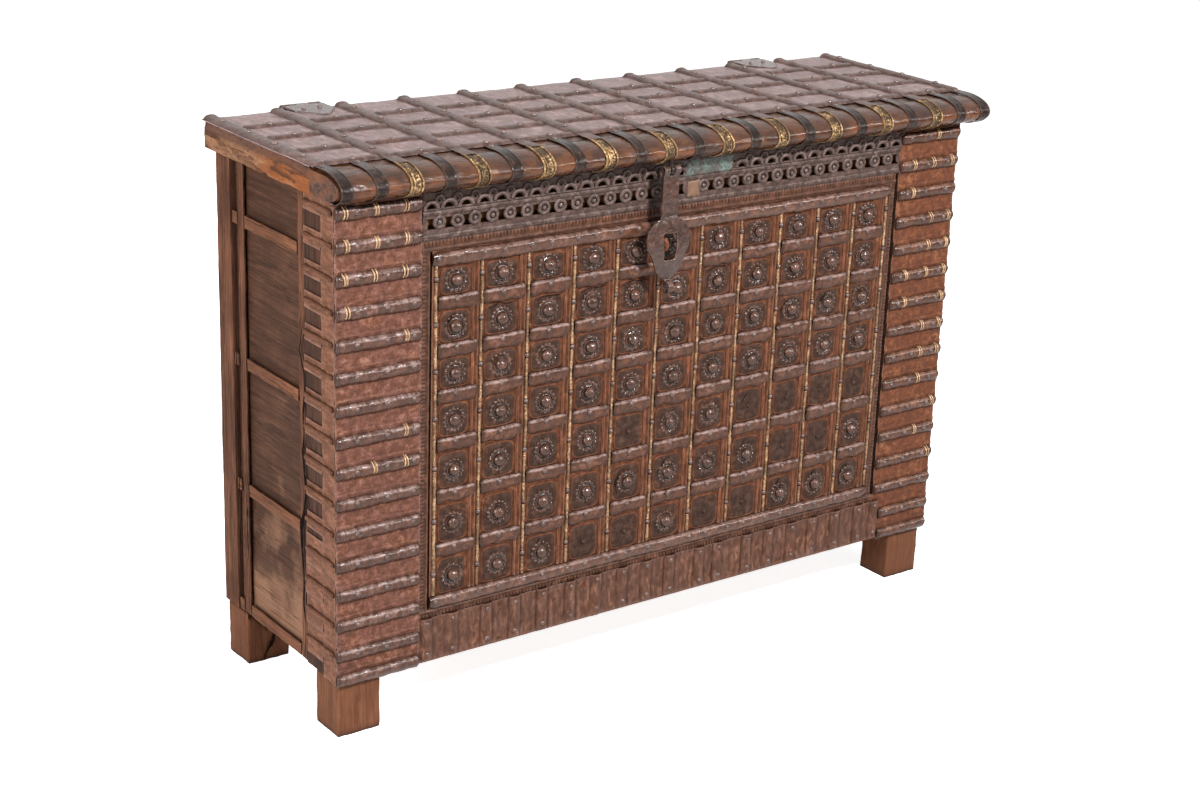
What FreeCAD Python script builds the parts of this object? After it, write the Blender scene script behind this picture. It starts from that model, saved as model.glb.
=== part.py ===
import FreeCAD, Part
import math
import os

os.makedirs("parts", exist_ok=True)

# The chest stands on z = 0 with its front towards -Y, centred in X and Y.
# Every length is in millimetres.

# Carcass
body_width = 1220.0
body_depth = 372.0
body_height = 750.0
leg_height = 92.0
leg_width = 78.0
leg_depth = 72.0
leg_setback = 2.0
leg_chamfer = 3.0
post_width = 60.0
front_post_depth = 93.5
rear_post_depth = 47.0
board_thickness = 22.0
rear_board_thickness = 18.0
floor_thickness = 18.0
floor_rise = 6.0
board_joint = 0.5
front_board_count = 3
rear_board_count = 3
floor_board_count = 2

# End frames
panel_thickness = 18.0
panel_recess = 9.0
frame_thickness = 8.0
stile_width = 22.0
rear_channel_width = 18.0
rail_height = 23.0
rail_place_shares = (0.0, 0.277, 0.557, 0.860)

# Sheet iron that covers the front and turns round the corners
sheet_thickness = 1.5
wrap_depth = 37.0
wrap_tab_depth = 90.0
wrap_tab_height = 25.0
side_rib_radius = 5.0
side_rib_end_gap = 3.0
bar_end_share = 0.65

# Ribbed flanks
flank_left_width = 144.0
flank_right_width = 135.0
rib_count = 15
rib_radius = 9.0
rib_end_margin = 4.0
rib_top_drop = 14.0
rib_bottom_rise = 50.0
ring_thickness = 1.2
ring_width = 8.0
left_ring_shares = (
    (0.08, 0.45, 0.81),
    (0.10, 0.46, 0.82),
    (0.08, 0.43, 0.80),
    (0.10,),
    (0.82,),
    (),
    (),
    (0.82,),
    (0.43, 0.82),
)
right_ring_shares = (
    (0.61,),
    (0.21, 0.56, 0.90),
    (0.22,),
    (0.60, 0.92),
    (0.59, 0.92),
    (0.21, 0.59, 0.92),
    (0.23, 0.92),
    (0.60, 0.92),
    (0.61, 0.92),
    (0.61,),
    (0.92,),
    (0.63,),
    (0.92,),
)
left_rib_nail_shares = (0.21, 0.58, 0.91)
right_rib_nail_shares = (0.10, 0.44, 0.81)

# Pierced frieze under the lid
frieze_height = 74.0
frieze_plate_thickness = 2.5
frieze_plate_stand = 1.0
frieze_pocket_depth = 8.5
frieze_pocket_foot = 8.0
frieze_pocket_head = 5.0
frieze_side_gap = 1.0
frieze_ring_pitch = 30.45
frieze_end_web = 1.94
frieze_ring_rise = 27.0
frieze_ring_radius = 10.8
ring_top_angle = 38.0
ring_foot_angle = 66.0
arch_rise = 48.0
arch_half_width = 8.0
arch_height = 7.0
peak_hole_rise = 59.0
peak_hole_radius = 2.2
boss_radius = 4.2
boss_height = 4.0
stud_radius = 2.6
stud_height = 2.0
band_stud_rise = 41.0
foot_stud_rise = 5.0
patch_thickness = 1.5
patch_left_share = 0.505
patch_right_share = 0.611
patch_foot_rise = 45.0
patch_head_drop = 3.0
small_patch_left_share = 0.515
small_patch_right_share = 0.541
small_patch_foot_rise = 11.0
small_patch_head_rise = 37.0

# Notched bands round the lattice
notch_top_height = 16.0
notch_bottom_height = 13.0
notch_left_width = 14.0
notch_right_width = 12.0
groove_left_width = 4.0
groove_right_width = 7.0
groove_depth = 8.0
notch_thickness = 2.0
notch_pitch = 6.2
notch_depth_share = 0.62
notch_gap_share = 0.45

# Lattice
strip_place_shares = (0.0077, 0.0951, 0.1881, 0.2810, 0.3706, 0.4613,
                      0.5542, 0.6449, 0.7367, 0.8252, 0.9126, 0.9950)
bar_place_shares = (0.0, 0.1588, 0.3212, 0.4726, 0.6131, 0.7445, 0.8796, 1.0)
frame_bar_rise = 14.0
frame_bar_drop = 10.0
frame_bar_radius = 8.5
cross_rib_radius = 7.0
strip_width = 7.0
strip_height = 3.4
strip_nail_radius = 4.5
strip_nail_height = 5.0
rail_width = 12.5
rail_thickness = 3.0
rail_strip_gap = 1.0
rail_groove_width = 3.0
rail_groove_depth = 1.6
cell_gap = 1.5
plate_thickness = 1.5
plate_side_gap = 2.5
plate_height_share = 0.80
rosette_gap = 4.25
rosette_disc_thickness = 1.0
rosette_dome_share = 0.5
rosette_dome_height = 5.5
rosette_bead_count = 14
rosette_bead_share = 0.162
rosette_bead_height = 2.6
rosette_bead_circle_share = 0.81
rosette_rib_gap = 0.4
worn_cells = ((4, 2), (7, 2), (8, 2), (9, 2), (10, 2), (8, 1), (9, 1), (3, 0), (4, 0), (6, 0), (7, 0))

# Skirt under the lattice
skirt_height = 75.0
skirt_rib_shares = (0.0135, 0.0622, 0.1303, 0.1866, 0.2429, 0.3013, 0.3565, 0.4128, 0.4649,
                    0.5159, 0.5829, 0.6254, 0.6934, 0.7444, 0.7997, 0.8506, 0.9070, 0.9645)
skirt_lap = 15.0
skirt_rib_width = 20.0
skirt_rib_height = 5.0
skirt_stud_drop = 9.0
skirt_stud_rise = 15.0

# Forged nails
head_sides = 8
shoulder_width_share = 0.68
shoulder_rise_share = 0.68
nail_radius = 4.0
nail_height = 3.0
lid_nail_radius = 5.0
lid_nail_height = 2.8

# Lid
lid_thickness = 45.5
lid_overhang_left = 12.0
lid_overhang_right = 33.0
lid_overhang_front = 38.5
lid_overhang_back = 12.5
lid_seat_gap = 0.3
clamp_width = 45.0
nosing_depth = 86.5
nosing_curve = 50.0
lid_board_count = 3
end_strap_thickness = 2.0
long_strap_count = 12
long_strap_width = 24.0
long_strap_height = 6.0
cross_strap_width = 20.0
cross_strap_height = 5.0
cross_strap_shares = (0.0, 0.3225, 0.6856, 1.0)
cross_strap_hinge_gap = 18.4
band_thickness = 1.5
brass_band_width = 22.0
iron_band_width = 20.0
band_end_gap = 3.0
band_nail_drop = 40.0

# Rear hinges
hinge_side_gap = 9.4
hinge_reach = 25.0
hinge_leaf_thickness = 3.5
hinge_knuckle_radius = 7.0
hinge_pin_radius = 2.5
hinge_leaf_length = 60.0
hinge_shoulder = 22.0
hinge_tip_half_width = 6.0
hinge_crank_drop = 12.0
hinge_back_length = 78.0
hinge_gaps = (1, 9)
hinge_nail_shares = (0.3, 0.7)
hinge_back_nail_shares = (0.4, 0.8)
running_clearance = 0.05
cut_overrun = 2.0
knuckle_gap = 0.5

# Hasp and staple
hasp_strip = 5
hasp_strap = 5
hasp_offset = 8.0
hasp_strap_offset = 6.9
hasp_standoff = 31.0
hasp_pivot_drop = 6.0
hasp_knuckle_radius = 7.5
hasp_pin_radius = 3.0
hasp_arm_width = 32.0
hasp_arm_thickness = 8.0
hasp_arm_chamfer = 2.0
hasp_plate_thickness = 5.0
hasp_plate_length = 100.0
hasp_plate_half_width = 41.7
hasp_plate_wide_share = 0.42
hasp_plate_shoulder_share = 0.83
hasp_plate_shoulder_drop_share = 0.126
hasp_plate_cheek_share = 0.80
hasp_tip_half_width = 5.5
hasp_slot_width = 24.0
hasp_slot_height = 42.0
hasp_neck_gap = 24.0
hasp_curl_radius = 9.0
hasp_curl_bore = 4.5
hasp_curl_drop = 8.0
eye_width = 8.0
eye_clearance = 0.5
eye_shank_radius = 4.0
eye_shank_depth = 18.0
staple_plate_width = 20.0
staple_plate_height = 36.0
staple_plate_thickness = 3.0
staple_plate_gap = 0.5
staple_reach = 27.0
staple_rod_radius = 3.0
staple_height = 26.0

# Frame of the whole chest
curl_front = hasp_standoff - hasp_plate_thickness / 2 + 2 * hasp_curl_radius
front_reach = max(lid_overhang_front + band_thickness, curl_front)
back_reach = lid_overhang_back + hinge_reach + hinge_knuckle_radius
overall_width = lid_overhang_left + body_width + lid_overhang_right
overall_depth = front_reach + body_depth + back_reach
body_left = lid_overhang_left - overall_width / 2
body_right = body_left + body_width
face_y = front_reach - overall_depth / 2
body_back = face_y + body_depth
body_top = leg_height + body_height
wood_left = body_left + sheet_thickness
wood_right = body_right - sheet_thickness
wood_front = face_y + sheet_thickness

# Zones of the front
centre_left = body_left + flank_left_width
centre_right = body_right - flank_right_width
lattice_left = centre_left + notch_left_width + groove_left_width
lattice_right = centre_right - groove_right_width - notch_right_width
frieze_z = body_top - frieze_height
lattice_top = frieze_z - notch_top_height
skirt_top = leg_height + skirt_height
lattice_bottom = skirt_top + notch_bottom_height
lattice_width = lattice_right - lattice_left
strip_x = [lattice_left + share * lattice_width for share in strip_place_shares]
low_bar_z = lattice_bottom + frame_bar_rise
high_bar_z = lattice_top - frame_bar_drop
bar_z = [low_bar_z + share * (high_bar_z - low_bar_z) for share in bar_place_shares]
upright_foot = low_bar_z + frame_bar_radius
upright_head = high_bar_z - frame_bar_radius
rib_pitch = (body_height - rib_top_drop - rib_bottom_rise) / (rib_count - 1)
rib_z = [body_top - rib_top_drop - i * rib_pitch for i in range(rib_count)]

# Lid and hasp places
lid_left = body_left - lid_overhang_left
lid_right = body_right + lid_overhang_right
lid_front = face_y - lid_overhang_front
lid_back = body_back + lid_overhang_back
lid_bottom = body_top + lid_seat_gap
lid_top = lid_bottom + lid_thickness
nosing_back = lid_front + nosing_depth
strap_front = nosing_back - cross_strap_width / 2
hasp_x = strip_x[hasp_strip] - hasp_offset
hasp_y = face_y - hasp_standoff
hasp_z = body_top - hasp_pivot_drop
staple_foot = upright_head - staple_plate_gap - staple_plate_height
staple_z = staple_foot + staple_plate_height / 2
slot_top = staple_z + hasp_slot_height / 2
neck_z = slot_top + hasp_neck_gap
first_strap_x = lid_left + long_strap_width / 2
last_strap_x = lid_right - long_strap_width / 2
middle_strap_x = hasp_x - hasp_strap_offset
right_strap_count = long_strap_count - 1 - hasp_strap
left_pitch = (middle_strap_x - first_strap_x) / hasp_strap
right_pitch = (last_strap_x - middle_strap_x) / right_strap_count
strap_x = [first_strap_x + i * left_pitch for i in range(hasp_strap)]
strap_x += [middle_strap_x + i * right_pitch for i in range(right_strap_count + 1)]
hinge_width = left_pitch - long_strap_width - 2 * hinge_side_gap
hinge_y = lid_back + hinge_reach
hinge_z = lid_top + hinge_leaf_thickness - hinge_knuckle_radius

X = FreeCAD.Vector(1, 0, 0)
Y = FreeCAD.Vector(0, 1, 0)
Z = FreeCAD.Vector(0, 0, 1)
LEFT = FreeCAD.Vector(-1, 0, 0)
FRONT = FreeCAD.Vector(0, -1, 0)
DOWN = FreeCAD.Vector(0, 0, -1)


def vector(x, y, z):
    return FreeCAD.Vector(x, y, z)


def save(node, solids):
    """Write one sub-part as a STEP file of separate solids."""
    if len(solids) == 1:
        shape = solids[0]
    else:
        shape = Part.makeCompound(solids)
    shape.exportStep("parts/" + node + ".step")
    print(node, len(solids), "solids")


def block(x0, x1, y0, y1, z0, z1):
    return Part.makeBox(x1 - x0, y1 - y0, z1 - z0, vector(x0, y0, z0))


def prism(points, direction):
    """Extrude a closed outline of straight edges."""
    wire = Part.makePolygon(points + [points[0]])
    return Part.Face(wire).extrude(direction)


def round_bar(start, axis, length, radius, outward):
    """Half-round bar with turned-down ends, its flat side on the surface behind it."""
    turn = bar_end_share * radius
    low = radius - turn
    bend = turn * math.cos(math.pi / 4)
    end = start + axis * length
    left_low = start + outward * low
    left_bow = start + axis * (turn - bend) + outward * (low + bend)
    left_top = start + axis * turn + outward * radius
    right_top = end - axis * turn + outward * radius
    right_bow = end - axis * (turn - bend) + outward * (low + bend)
    right_low = end + outward * low
    edges = [
        Part.makeLine(start, left_low),
        Part.Arc(left_low, left_bow, left_top).toShape(),
        Part.makeLine(left_top, right_top),
        Part.Arc(right_top, right_bow, right_low).toShape(),
        Part.makeLine(right_low, end),
        Part.makeLine(end, start),
    ]
    face = Part.Face(Part.Wire(edges))
    face.rotate(start, axis, -90)
    return face.revolve(start, axis, 180)


def low_bar(start, axis, side, length, width, height, outward):
    """Bar with a low rounded crown over a flat foot."""
    left = start - side * (width / 2)
    right = start + side * (width / 2)
    crown = start + outward * height
    edges = [Part.Arc(left, crown, right).toShape(), Part.makeLine(right, left)]
    return Part.Face(Part.Wire(edges)).extrude(axis * length)


def dome(centre, outward, radius, height):
    """Cap of a sphere."""
    ball = (radius * radius + height * height) / (2 * height)
    sink = ball - height
    low_angle = math.degrees(math.asin(sink / ball))
    return Part.makeSphere(ball, centre - outward * sink, outward, low_angle, 90, 360)


def forged_head(outward, radius, height):
    """Nail head at the origin with eight facets, a shoulder and a point."""
    side = X if abs(outward.x) < abs(outward.y + outward.z) else Y
    other = outward.cross(side)
    tip = outward * height
    foot = []
    shoulder = []
    for i in range(head_sides + 1):
        turn = 2 * math.pi * (i % head_sides) / head_sides
        arm = side * math.cos(turn) + other * math.sin(turn)
        foot.append(arm * radius)
        shoulder.append(arm * (radius * shoulder_width_share) + outward * (height * shoulder_rise_share))
    faces = [Part.Face(Part.makePolygon(foot))]
    for i in range(head_sides):
        side_face = [foot[i], foot[i + 1], shoulder[i + 1], shoulder[i], foot[i]]
        top_face = [shoulder[i], shoulder[i + 1], tip, shoulder[i]]
        faces.append(Part.Face(Part.makePolygon(side_face)))
        faces.append(Part.Face(Part.makePolygon(top_face)))
    solid = Part.Solid(Part.Shell(faces))
    if solid.Volume < 0:
        solid.reverse()
    return solid


forged_heads = {}


def nail_head(centre, outward, radius, height):
    """Copy of the forged head of one size, seated at a place."""
    kind = (tuple(outward), radius, height)
    if kind not in forged_heads:
        forged_heads[kind] = forged_head(outward, radius, height)
    head = forged_heads[kind].copy()
    head.translate(centre)
    return head


def half_ring(centre, axis, width, inner, thickness, outward):
    """Band bent round a half-round bar."""
    a = centre - axis * (width / 2) + outward * inner
    b = a + outward * thickness
    c = b + axis * width
    d = a + axis * width
    face = Part.Face(Part.makePolygon([a, b, c, d, a]))
    face.rotate(centre, axis, -90)
    return face.revolve(centre, axis, 180)


# Legs and posts
def leg(x, y):
    solid = block(x, x + leg_width, y, y + leg_depth, 0, leg_height)
    low_edges = [e for e in solid.Edges if e.BoundBox.ZMax < leg_chamfer]
    return solid.makeChamfer(leg_chamfer, low_edges)


leg_left = wood_left + leg_setback
leg_right = wood_right - leg_setback - leg_width
leg_front = wood_front + leg_setback
leg_rear = body_back - leg_setback - leg_depth
save("leg_front_left", [leg(leg_left, leg_front)])
save("leg_front_right", [leg(leg_right, leg_front)])
save("leg_rear_left", [leg(leg_left, leg_rear)])
save("leg_rear_right", [leg(leg_right, leg_rear)])

front_post_back = wood_front + front_post_depth
rear_post_front = body_back - rear_post_depth
for side, post_x in (("left", wood_left), ("right", wood_right - post_width)):
    post = block(post_x, post_x + post_width, wood_front, front_post_back, leg_height, body_top)
    save("post_front_" + side, [post])
    post = block(post_x, post_x + post_width, rear_post_front, body_back, leg_height, body_top)
    save("post_rear_" + side, [post])


# Boards
def stack_of_boards(x0, x1, y0, y1, z0, z1, count):
    """Boards laid one above another with a hairline joint."""
    height = (z1 - z0 - (count - 1) * board_joint) / count
    boards = []
    for i in range(count):
        z = z0 + i * (height + board_joint)
        boards.append(block(x0, x1, y0, y1, z, z + height))
    return boards


board_left = wood_left + post_width
board_right = wood_right - post_width
front_board_back = wood_front + board_thickness
front_boards = stack_of_boards(board_left, board_right, wood_front, front_board_back,
                               leg_height, frieze_z, front_board_count)
groove_back = wood_front + groove_depth
grooves = [
    block(lattice_left - groove_left_width, lattice_left, wood_front, groove_back,
          lattice_bottom, lattice_top),
    block(centre_right - groove_right_width, centre_right, wood_front, groove_back,
          lattice_bottom, frieze_z),
]
save("front_boards", [board.cut(grooves) for board in front_boards])

frieze_left = centre_left + frieze_side_gap
frieze_right = centre_right - frieze_side_gap
frieze_board = block(board_left, board_right, wood_front, front_board_back, frieze_z, body_top)
pocket = block(frieze_left, frieze_right, wood_front, wood_front + frieze_pocket_depth,
               frieze_z + frieze_pocket_foot, body_top - frieze_pocket_head)
save("frieze_board", [frieze_board.cut(pocket)])

rear_board_front = body_back - rear_board_thickness
save("rear_boards", stack_of_boards(board_left, board_right, rear_board_front, body_back,
                                    leg_height, body_top, rear_board_count))

panel_outer = wood_left + panel_recess
panel_inner = panel_outer + panel_thickness
panel_inner_right = wood_right - panel_recess - panel_thickness
panel = block(panel_outer, panel_inner, front_post_back, rear_post_front, leg_height, body_top)
save("end_panel_left", [panel])
panel = block(panel_inner_right, wood_right - panel_recess, front_post_back, rear_post_front,
              leg_height, body_top)
save("end_panel_right", [panel])

floor_z = leg_height + floor_rise
floor_top = floor_z + floor_thickness
floor_boards = [
    block(board_left, board_right, front_board_back, front_post_back - board_joint, floor_z, floor_top),
    block(board_left, board_right, rear_post_front + board_joint, rear_board_front, floor_z, floor_top),
]
floor_pitch = (rear_post_front - front_post_back + board_joint) / floor_board_count
for i in range(floor_board_count):
    floor_y = front_post_back + i * floor_pitch
    floor_boards.append(block(panel_inner, panel_inner_right, floor_y, floor_y + floor_pitch - board_joint,
                              floor_z, floor_top))
save("floor_boards", floor_boards)


# End frames: stiles and rails planted on the end panels
rear_stile_y = rear_post_front - rear_channel_width - stile_width
rail_z = [leg_height + share * body_height for share in rail_place_shares]


def end_frame(x0, x1):
    stiles = [
        block(x0, x1, front_post_back, front_post_back + stile_width, leg_height, body_top),
        block(x0, x1, rear_stile_y, rear_stile_y + stile_width, leg_height, body_top),
    ]
    rails = []
    for z in rail_z:
        rails.append(block(x0, x1, front_post_back + stile_width, rear_stile_y, z, z + rail_height))
        rails.append(block(x0, x1, rear_stile_y + stile_width, rear_post_front, z, z + rail_height))
    return stiles, rails


left_stiles, left_rails = end_frame(panel_outer - frame_thickness, panel_outer)
right_stiles, right_rails = end_frame(wood_right - panel_recess,
                                      wood_right - panel_recess + frame_thickness)
save("end_stiles", left_stiles + right_stiles)
save("end_rails", left_rails + right_rails)


# Corner wraps: sheet iron turned round the corners, with a tab at every rib
def corner_wrap(x):
    points = [vector(x, wood_front, leg_height), vector(x, wood_front + wrap_depth, leg_height)]
    for z in reversed(rib_z):
        low = z - wrap_tab_height / 2
        high = min(z + wrap_tab_height / 2, body_top)
        points.append(vector(x, wood_front + wrap_depth, low))
        points.append(vector(x, wood_front + wrap_tab_depth, low))
        points.append(vector(x, wood_front + wrap_tab_depth, high))
        points.append(vector(x, wood_front + wrap_depth, high))
    if points[-1].z < body_top:
        points.append(vector(x, wood_front + wrap_depth, body_top))
    else:
        points.pop()
    points.append(vector(x, wood_front, body_top))
    return prism(points, X * sheet_thickness)


save("corner_wraps", [corner_wrap(body_left), corner_wrap(wood_right)])

side_rib_length = wrap_tab_depth - 2 * side_rib_end_gap
side_ribs = []
for x, outward in ((body_left, LEFT), (body_right, X)):
    for z in rib_z:
        start = vector(x, wood_front + side_rib_end_gap, z)
        side_ribs.append(round_bar(start, Y, side_rib_length, side_rib_radius, outward))
save("side_ribs", side_ribs)


# Ribbed flanks
def flank(x0, x1, lap, ring_shares, nail_shares):
    """Ribs, brass rings and nails between two upright lines, clear of the skirt's lap at the foot."""
    ribs = []
    rings = []
    nails = []
    for i, z in enumerate(rib_z + [leg_height + rib_radius]):
        start_x = x0 + rib_end_margin
        if z - rib_radius < skirt_top:
            start_x += lap
        length = x1 - rib_end_margin - start_x
        ribs.append(round_bar(vector(start_x, face_y, z), X, length, rib_radius, FRONT))
        if i < len(ring_shares):
            for share in ring_shares[i]:
                centre = vector(start_x + share * length, face_y, z)
                rings.append(half_ring(centre, X, ring_width, rib_radius, ring_thickness, FRONT))
        if i < rib_count:
            for share in nail_shares:
                top = vector(start_x + share * length, face_y - rib_radius, z)
                nails.append(nail_head(top, FRONT, nail_radius, nail_height))
    return ribs, rings, nails


ribs_left, rings_left, nails_left = flank(body_left, centre_left, 0, left_ring_shares,
                                          left_rib_nail_shares)
ribs_right, rings_right, nails_right = flank(centre_right, body_right, skirt_lap, right_ring_shares,
                                             right_rib_nail_shares)
save("flank_ribs", ribs_left + ribs_right)
save("flank_brass_rings", rings_left + rings_right)
save("flank_nails", nails_left + nails_right)

# Pierced frieze
plate_front = face_y - frieze_plate_stand
plate_back = plate_front + frieze_plate_thickness
ring_foot_reach = frieze_ring_radius * math.cos(math.radians(ring_foot_angle))
drop_span = frieze_right - frieze_left - 2 * frieze_end_web + 2 * ring_foot_reach
drop_count = round(drop_span / frieze_ring_pitch)
ring_pitch = drop_span / drop_count
ring_start = frieze_left + frieze_end_web - ring_foot_reach + ring_pitch
ring_x = [ring_start + i * ring_pitch for i in range(drop_count - 1)]
ring_z = frieze_z + frieze_ring_rise


def ring_arc(x, from_angle, to_angle):
    """Arc of the ring centred at x, as three points at the given angles."""
    middle = (from_angle + to_angle) / 2
    points = []
    for angle in (from_angle, middle, to_angle):
        turn = math.radians(angle)
        points.append(vector(x + frieze_ring_radius * math.cos(turn), plate_front,
                             ring_z + frieze_ring_radius * math.sin(turn)))
    return points


def cut_tool(edges):
    return Part.Face(Part.Wire(edges))


def teardrop(x0, x1):
    """Opening between two rings, wide at the foot."""
    first = ring_arc(x0, ring_top_angle, -ring_foot_angle)
    second = ring_arc(x1, 180 + ring_foot_angle, 180 - ring_top_angle)
    return cut_tool([
        Part.Arc(*first).toShape(),
        Part.makeLine(first[2], second[0]),
        Part.Arc(*second).toShape(),
        Part.makeLine(second[2], first[0]),
    ])


def arch(x):
    """Half-moon opening over the gap between two rings."""
    z = frieze_z + arch_rise
    left = vector(x - arch_half_width, plate_front, z)
    crown = vector(x, plate_front, z + arch_height)
    right = vector(x + arch_half_width, plate_front, z)
    return cut_tool([Part.Arc(left, crown, right).toShape(), Part.makeLine(right, left)])


def peak_hole(x):
    centre = vector(x, plate_front, frieze_z + peak_hole_rise)
    return cut_tool([Part.makeCircle(peak_hole_radius, centre, FRONT)])


outline = Part.Face(Part.makePolygon([
    vector(frieze_left, plate_front, frieze_z),
    vector(frieze_right, plate_front, frieze_z),
    vector(frieze_right, plate_front, body_top),
    vector(frieze_left, plate_front, body_top),
    vector(frieze_left, plate_front, frieze_z),
]))
openings = []
for i in range(drop_count):
    right_x = ring_start + i * ring_pitch
    openings.append(teardrop(right_x - ring_pitch, right_x))
    openings.append(arch(right_x - ring_pitch / 2))
openings += [peak_hole(x) for x in ring_x]
openwork = outline.cut(openings).extrude(Y * frieze_plate_thickness)
save("frieze_openwork", openwork.Solids)

frieze_width = frieze_right - frieze_left
patch_left = frieze_left + patch_left_share * frieze_width
patch_right = frieze_left + patch_right_share * frieze_width
small_left = frieze_left + small_patch_left_share * frieze_width
small_right = frieze_left + small_patch_right_share * frieze_width
patches = [
    block(patch_left, patch_right, plate_front - patch_thickness, plate_front,
          frieze_z + patch_foot_rise, body_top - patch_head_drop),
    block(small_left, small_right, plate_front - patch_thickness, plate_front,
          frieze_z + small_patch_foot_rise, frieze_z + small_patch_head_rise),
]
save("frieze_patches", patches)

studs = []
for i, x in enumerate(ring_x):
    if small_left - boss_radius < x < small_right + boss_radius:
        continue
    studs.append(nail_head(vector(x, plate_front, ring_z), FRONT, boss_radius, boss_height))
    if not patch_left - stud_radius < x < patch_right + stud_radius:
        studs.append(nail_head(vector(x, plate_front, frieze_z + band_stud_rise), FRONT,
                               stud_radius, stud_height))
    studs.append(nail_head(vector(x, plate_front, frieze_z + foot_stud_rise), FRONT,
                           stud_radius, stud_height))
save("frieze_studs", studs)


# Notched bands, each a toothed comb on the boards
def notched_band(corner, along, across, length, width):
    count = int(length / notch_pitch)
    pitch = length / count
    gap = pitch * notch_gap_share
    depth = width * notch_depth_share
    points = [corner, corner + along * length]
    for i in reversed(range(count)):
        end = corner + along * ((i + 1) * pitch)
        points.append(end + across * (width - depth))
        points.append(end - along * gap + across * (width - depth))
        points.append(end - along * gap + across * width)
        points.append(corner + along * (i * pitch) + across * width)
    return prism(points, FRONT * notch_thickness)


band_height = lattice_top - lattice_bottom
band_end = centre_right - groove_right_width
band_span = band_end - centre_left
save("notched_bands", [
    notched_band(vector(centre_left, face_y, lattice_top), X, Z, band_span, notch_top_height),
    notched_band(vector(centre_left, face_y, lattice_bottom), X, DOWN, band_span, notch_bottom_height),
    notched_band(vector(centre_left + notch_left_width, face_y, lattice_bottom), Z, LEFT, band_height,
                 notch_left_width),
    notched_band(vector(lattice_right, face_y, lattice_bottom), Z, X, band_height, notch_right_width),
])

# Sheets under the flanks, the notched bands, the lattice and the skirt
save("front_sheets", [
    block(body_left, centre_left, face_y, wood_front, leg_height, body_top),
    block(centre_right, body_right, face_y, wood_front, leg_height, body_top),
    block(centre_left, band_end, face_y, wood_front, lattice_top, frieze_z),
    block(centre_left, centre_left + notch_left_width, face_y, wood_front, lattice_bottom, lattice_top),
    block(lattice_left, band_end, face_y, wood_front, lattice_bottom, lattice_top),
    block(centre_left, centre_right, face_y, wood_front, leg_height, lattice_bottom),
])

# Lattice
bar_length = lattice_right - lattice_left
frame_bars = [round_bar(vector(lattice_left, face_y, z), X, bar_length, frame_bar_radius, FRONT)
              for z in (bar_z[0], bar_z[-1])]
save("lattice_frame_bars", frame_bars)

row_z = [(low + high) / 2 for low, high in zip(bar_z[:-1], bar_z[1:])]


def upright_top(strip):
    """Height at which a strip and its rail end; the staple plate takes the top of one."""
    if strip == hasp_strip:
        return min(upright_head, staple_foot)
    return upright_head


rails = []
for k in range(1, len(strip_x)):
    rail_right = strip_x[k] - strip_width / 2 - rail_strip_gap
    rail = block(rail_right - rail_width, rail_right, face_y - rail_thickness, face_y,
                 upright_foot, upright_top(k))
    groove_left = rail_right - rail_width / 2 - rail_groove_width / 2
    groove = block(groove_left, groove_left + rail_groove_width, face_y - rail_thickness,
                   face_y - rail_thickness + rail_groove_depth, upright_foot, upright_top(k))
    rails.append(rail.cut(groove))
save("lattice_rails", rails)

brass_strips = []
strip_nails = []
for k, x in enumerate(strip_x):
    stops = [upright_foot] + [z for z in row_z if z + strip_nail_radius < upright_top(k)]
    for z in stops[1:]:
        strip_nails.append(nail_head(vector(x, face_y, z), FRONT, strip_nail_radius, strip_nail_height))
    for i, z in enumerate(stops):
        low = z if i == 0 else z + strip_nail_radius
        high = stops[i + 1] - strip_nail_radius if i + 1 < len(stops) else upright_top(k)
        brass_strips.append(low_bar(vector(x, face_y, low), Z, X, high - low, strip_width,
                                    strip_height, FRONT))
save("brass_strips", brass_strips)

cells = []
for k in range(len(strip_x) - 1):
    cell_left = strip_x[k] + strip_width / 2 + cell_gap
    cell_right = strip_x[k + 1] - strip_width / 2 - rail_strip_gap - rail_width - cell_gap
    cells.append((cell_left, cell_right))

cross_ribs = []
cross_nails = []
for cell_left, cell_right in cells:
    for z in bar_z[1:-1]:
        cross_ribs.append(round_bar(vector(cell_left, face_y, z), X, cell_right - cell_left,
                                    cross_rib_radius, FRONT))
        middle = vector((cell_left + cell_right) / 2, face_y - cross_rib_radius, z)
        cross_nails.append(nail_head(middle, FRONT, nail_radius, nail_height))
save("cross_ribs", cross_ribs)

bar_nails = []
for z in (bar_z[0], bar_z[-1]):
    for x in strip_x[:-1] + [sum(cell) / 2 for cell in cells]:
        bar_nails.append(nail_head(vector(x, face_y - frame_bar_radius, z), FRONT, nail_radius, nail_height))
save("lattice_nails", strip_nails + cross_nails + bar_nails)


narrow_cell = min(cell_right - cell_left for cell_left, cell_right in cells)
low_cell = upright_head - bar_z[-2] - cross_rib_radius
rosette_radius = min(narrow_cell, low_cell) / 2 - rosette_gap


def rosette():
    """Embossed flower: a low disc, a domed centre and a ring of beads."""
    shape = Part.makeCylinder(rosette_radius, rosette_disc_thickness, vector(0, 0, 0), FRONT)
    top = FRONT * rosette_disc_thickness
    bead_circle = rosette_radius * rosette_bead_circle_share
    bead_radius = rosette_radius * rosette_bead_share
    parts = [dome(top, FRONT, rosette_radius * rosette_dome_share, rosette_dome_height)]
    for i in range(rosette_bead_count):
        turn = 2 * math.pi * i / rosette_bead_count
        place = vector(bead_circle * math.cos(turn), 0, bead_circle * math.sin(turn))
        parts.append(nail_head(top + place, FRONT, bead_radius, rosette_bead_height))
    return shape.multiFuse(parts)


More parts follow.
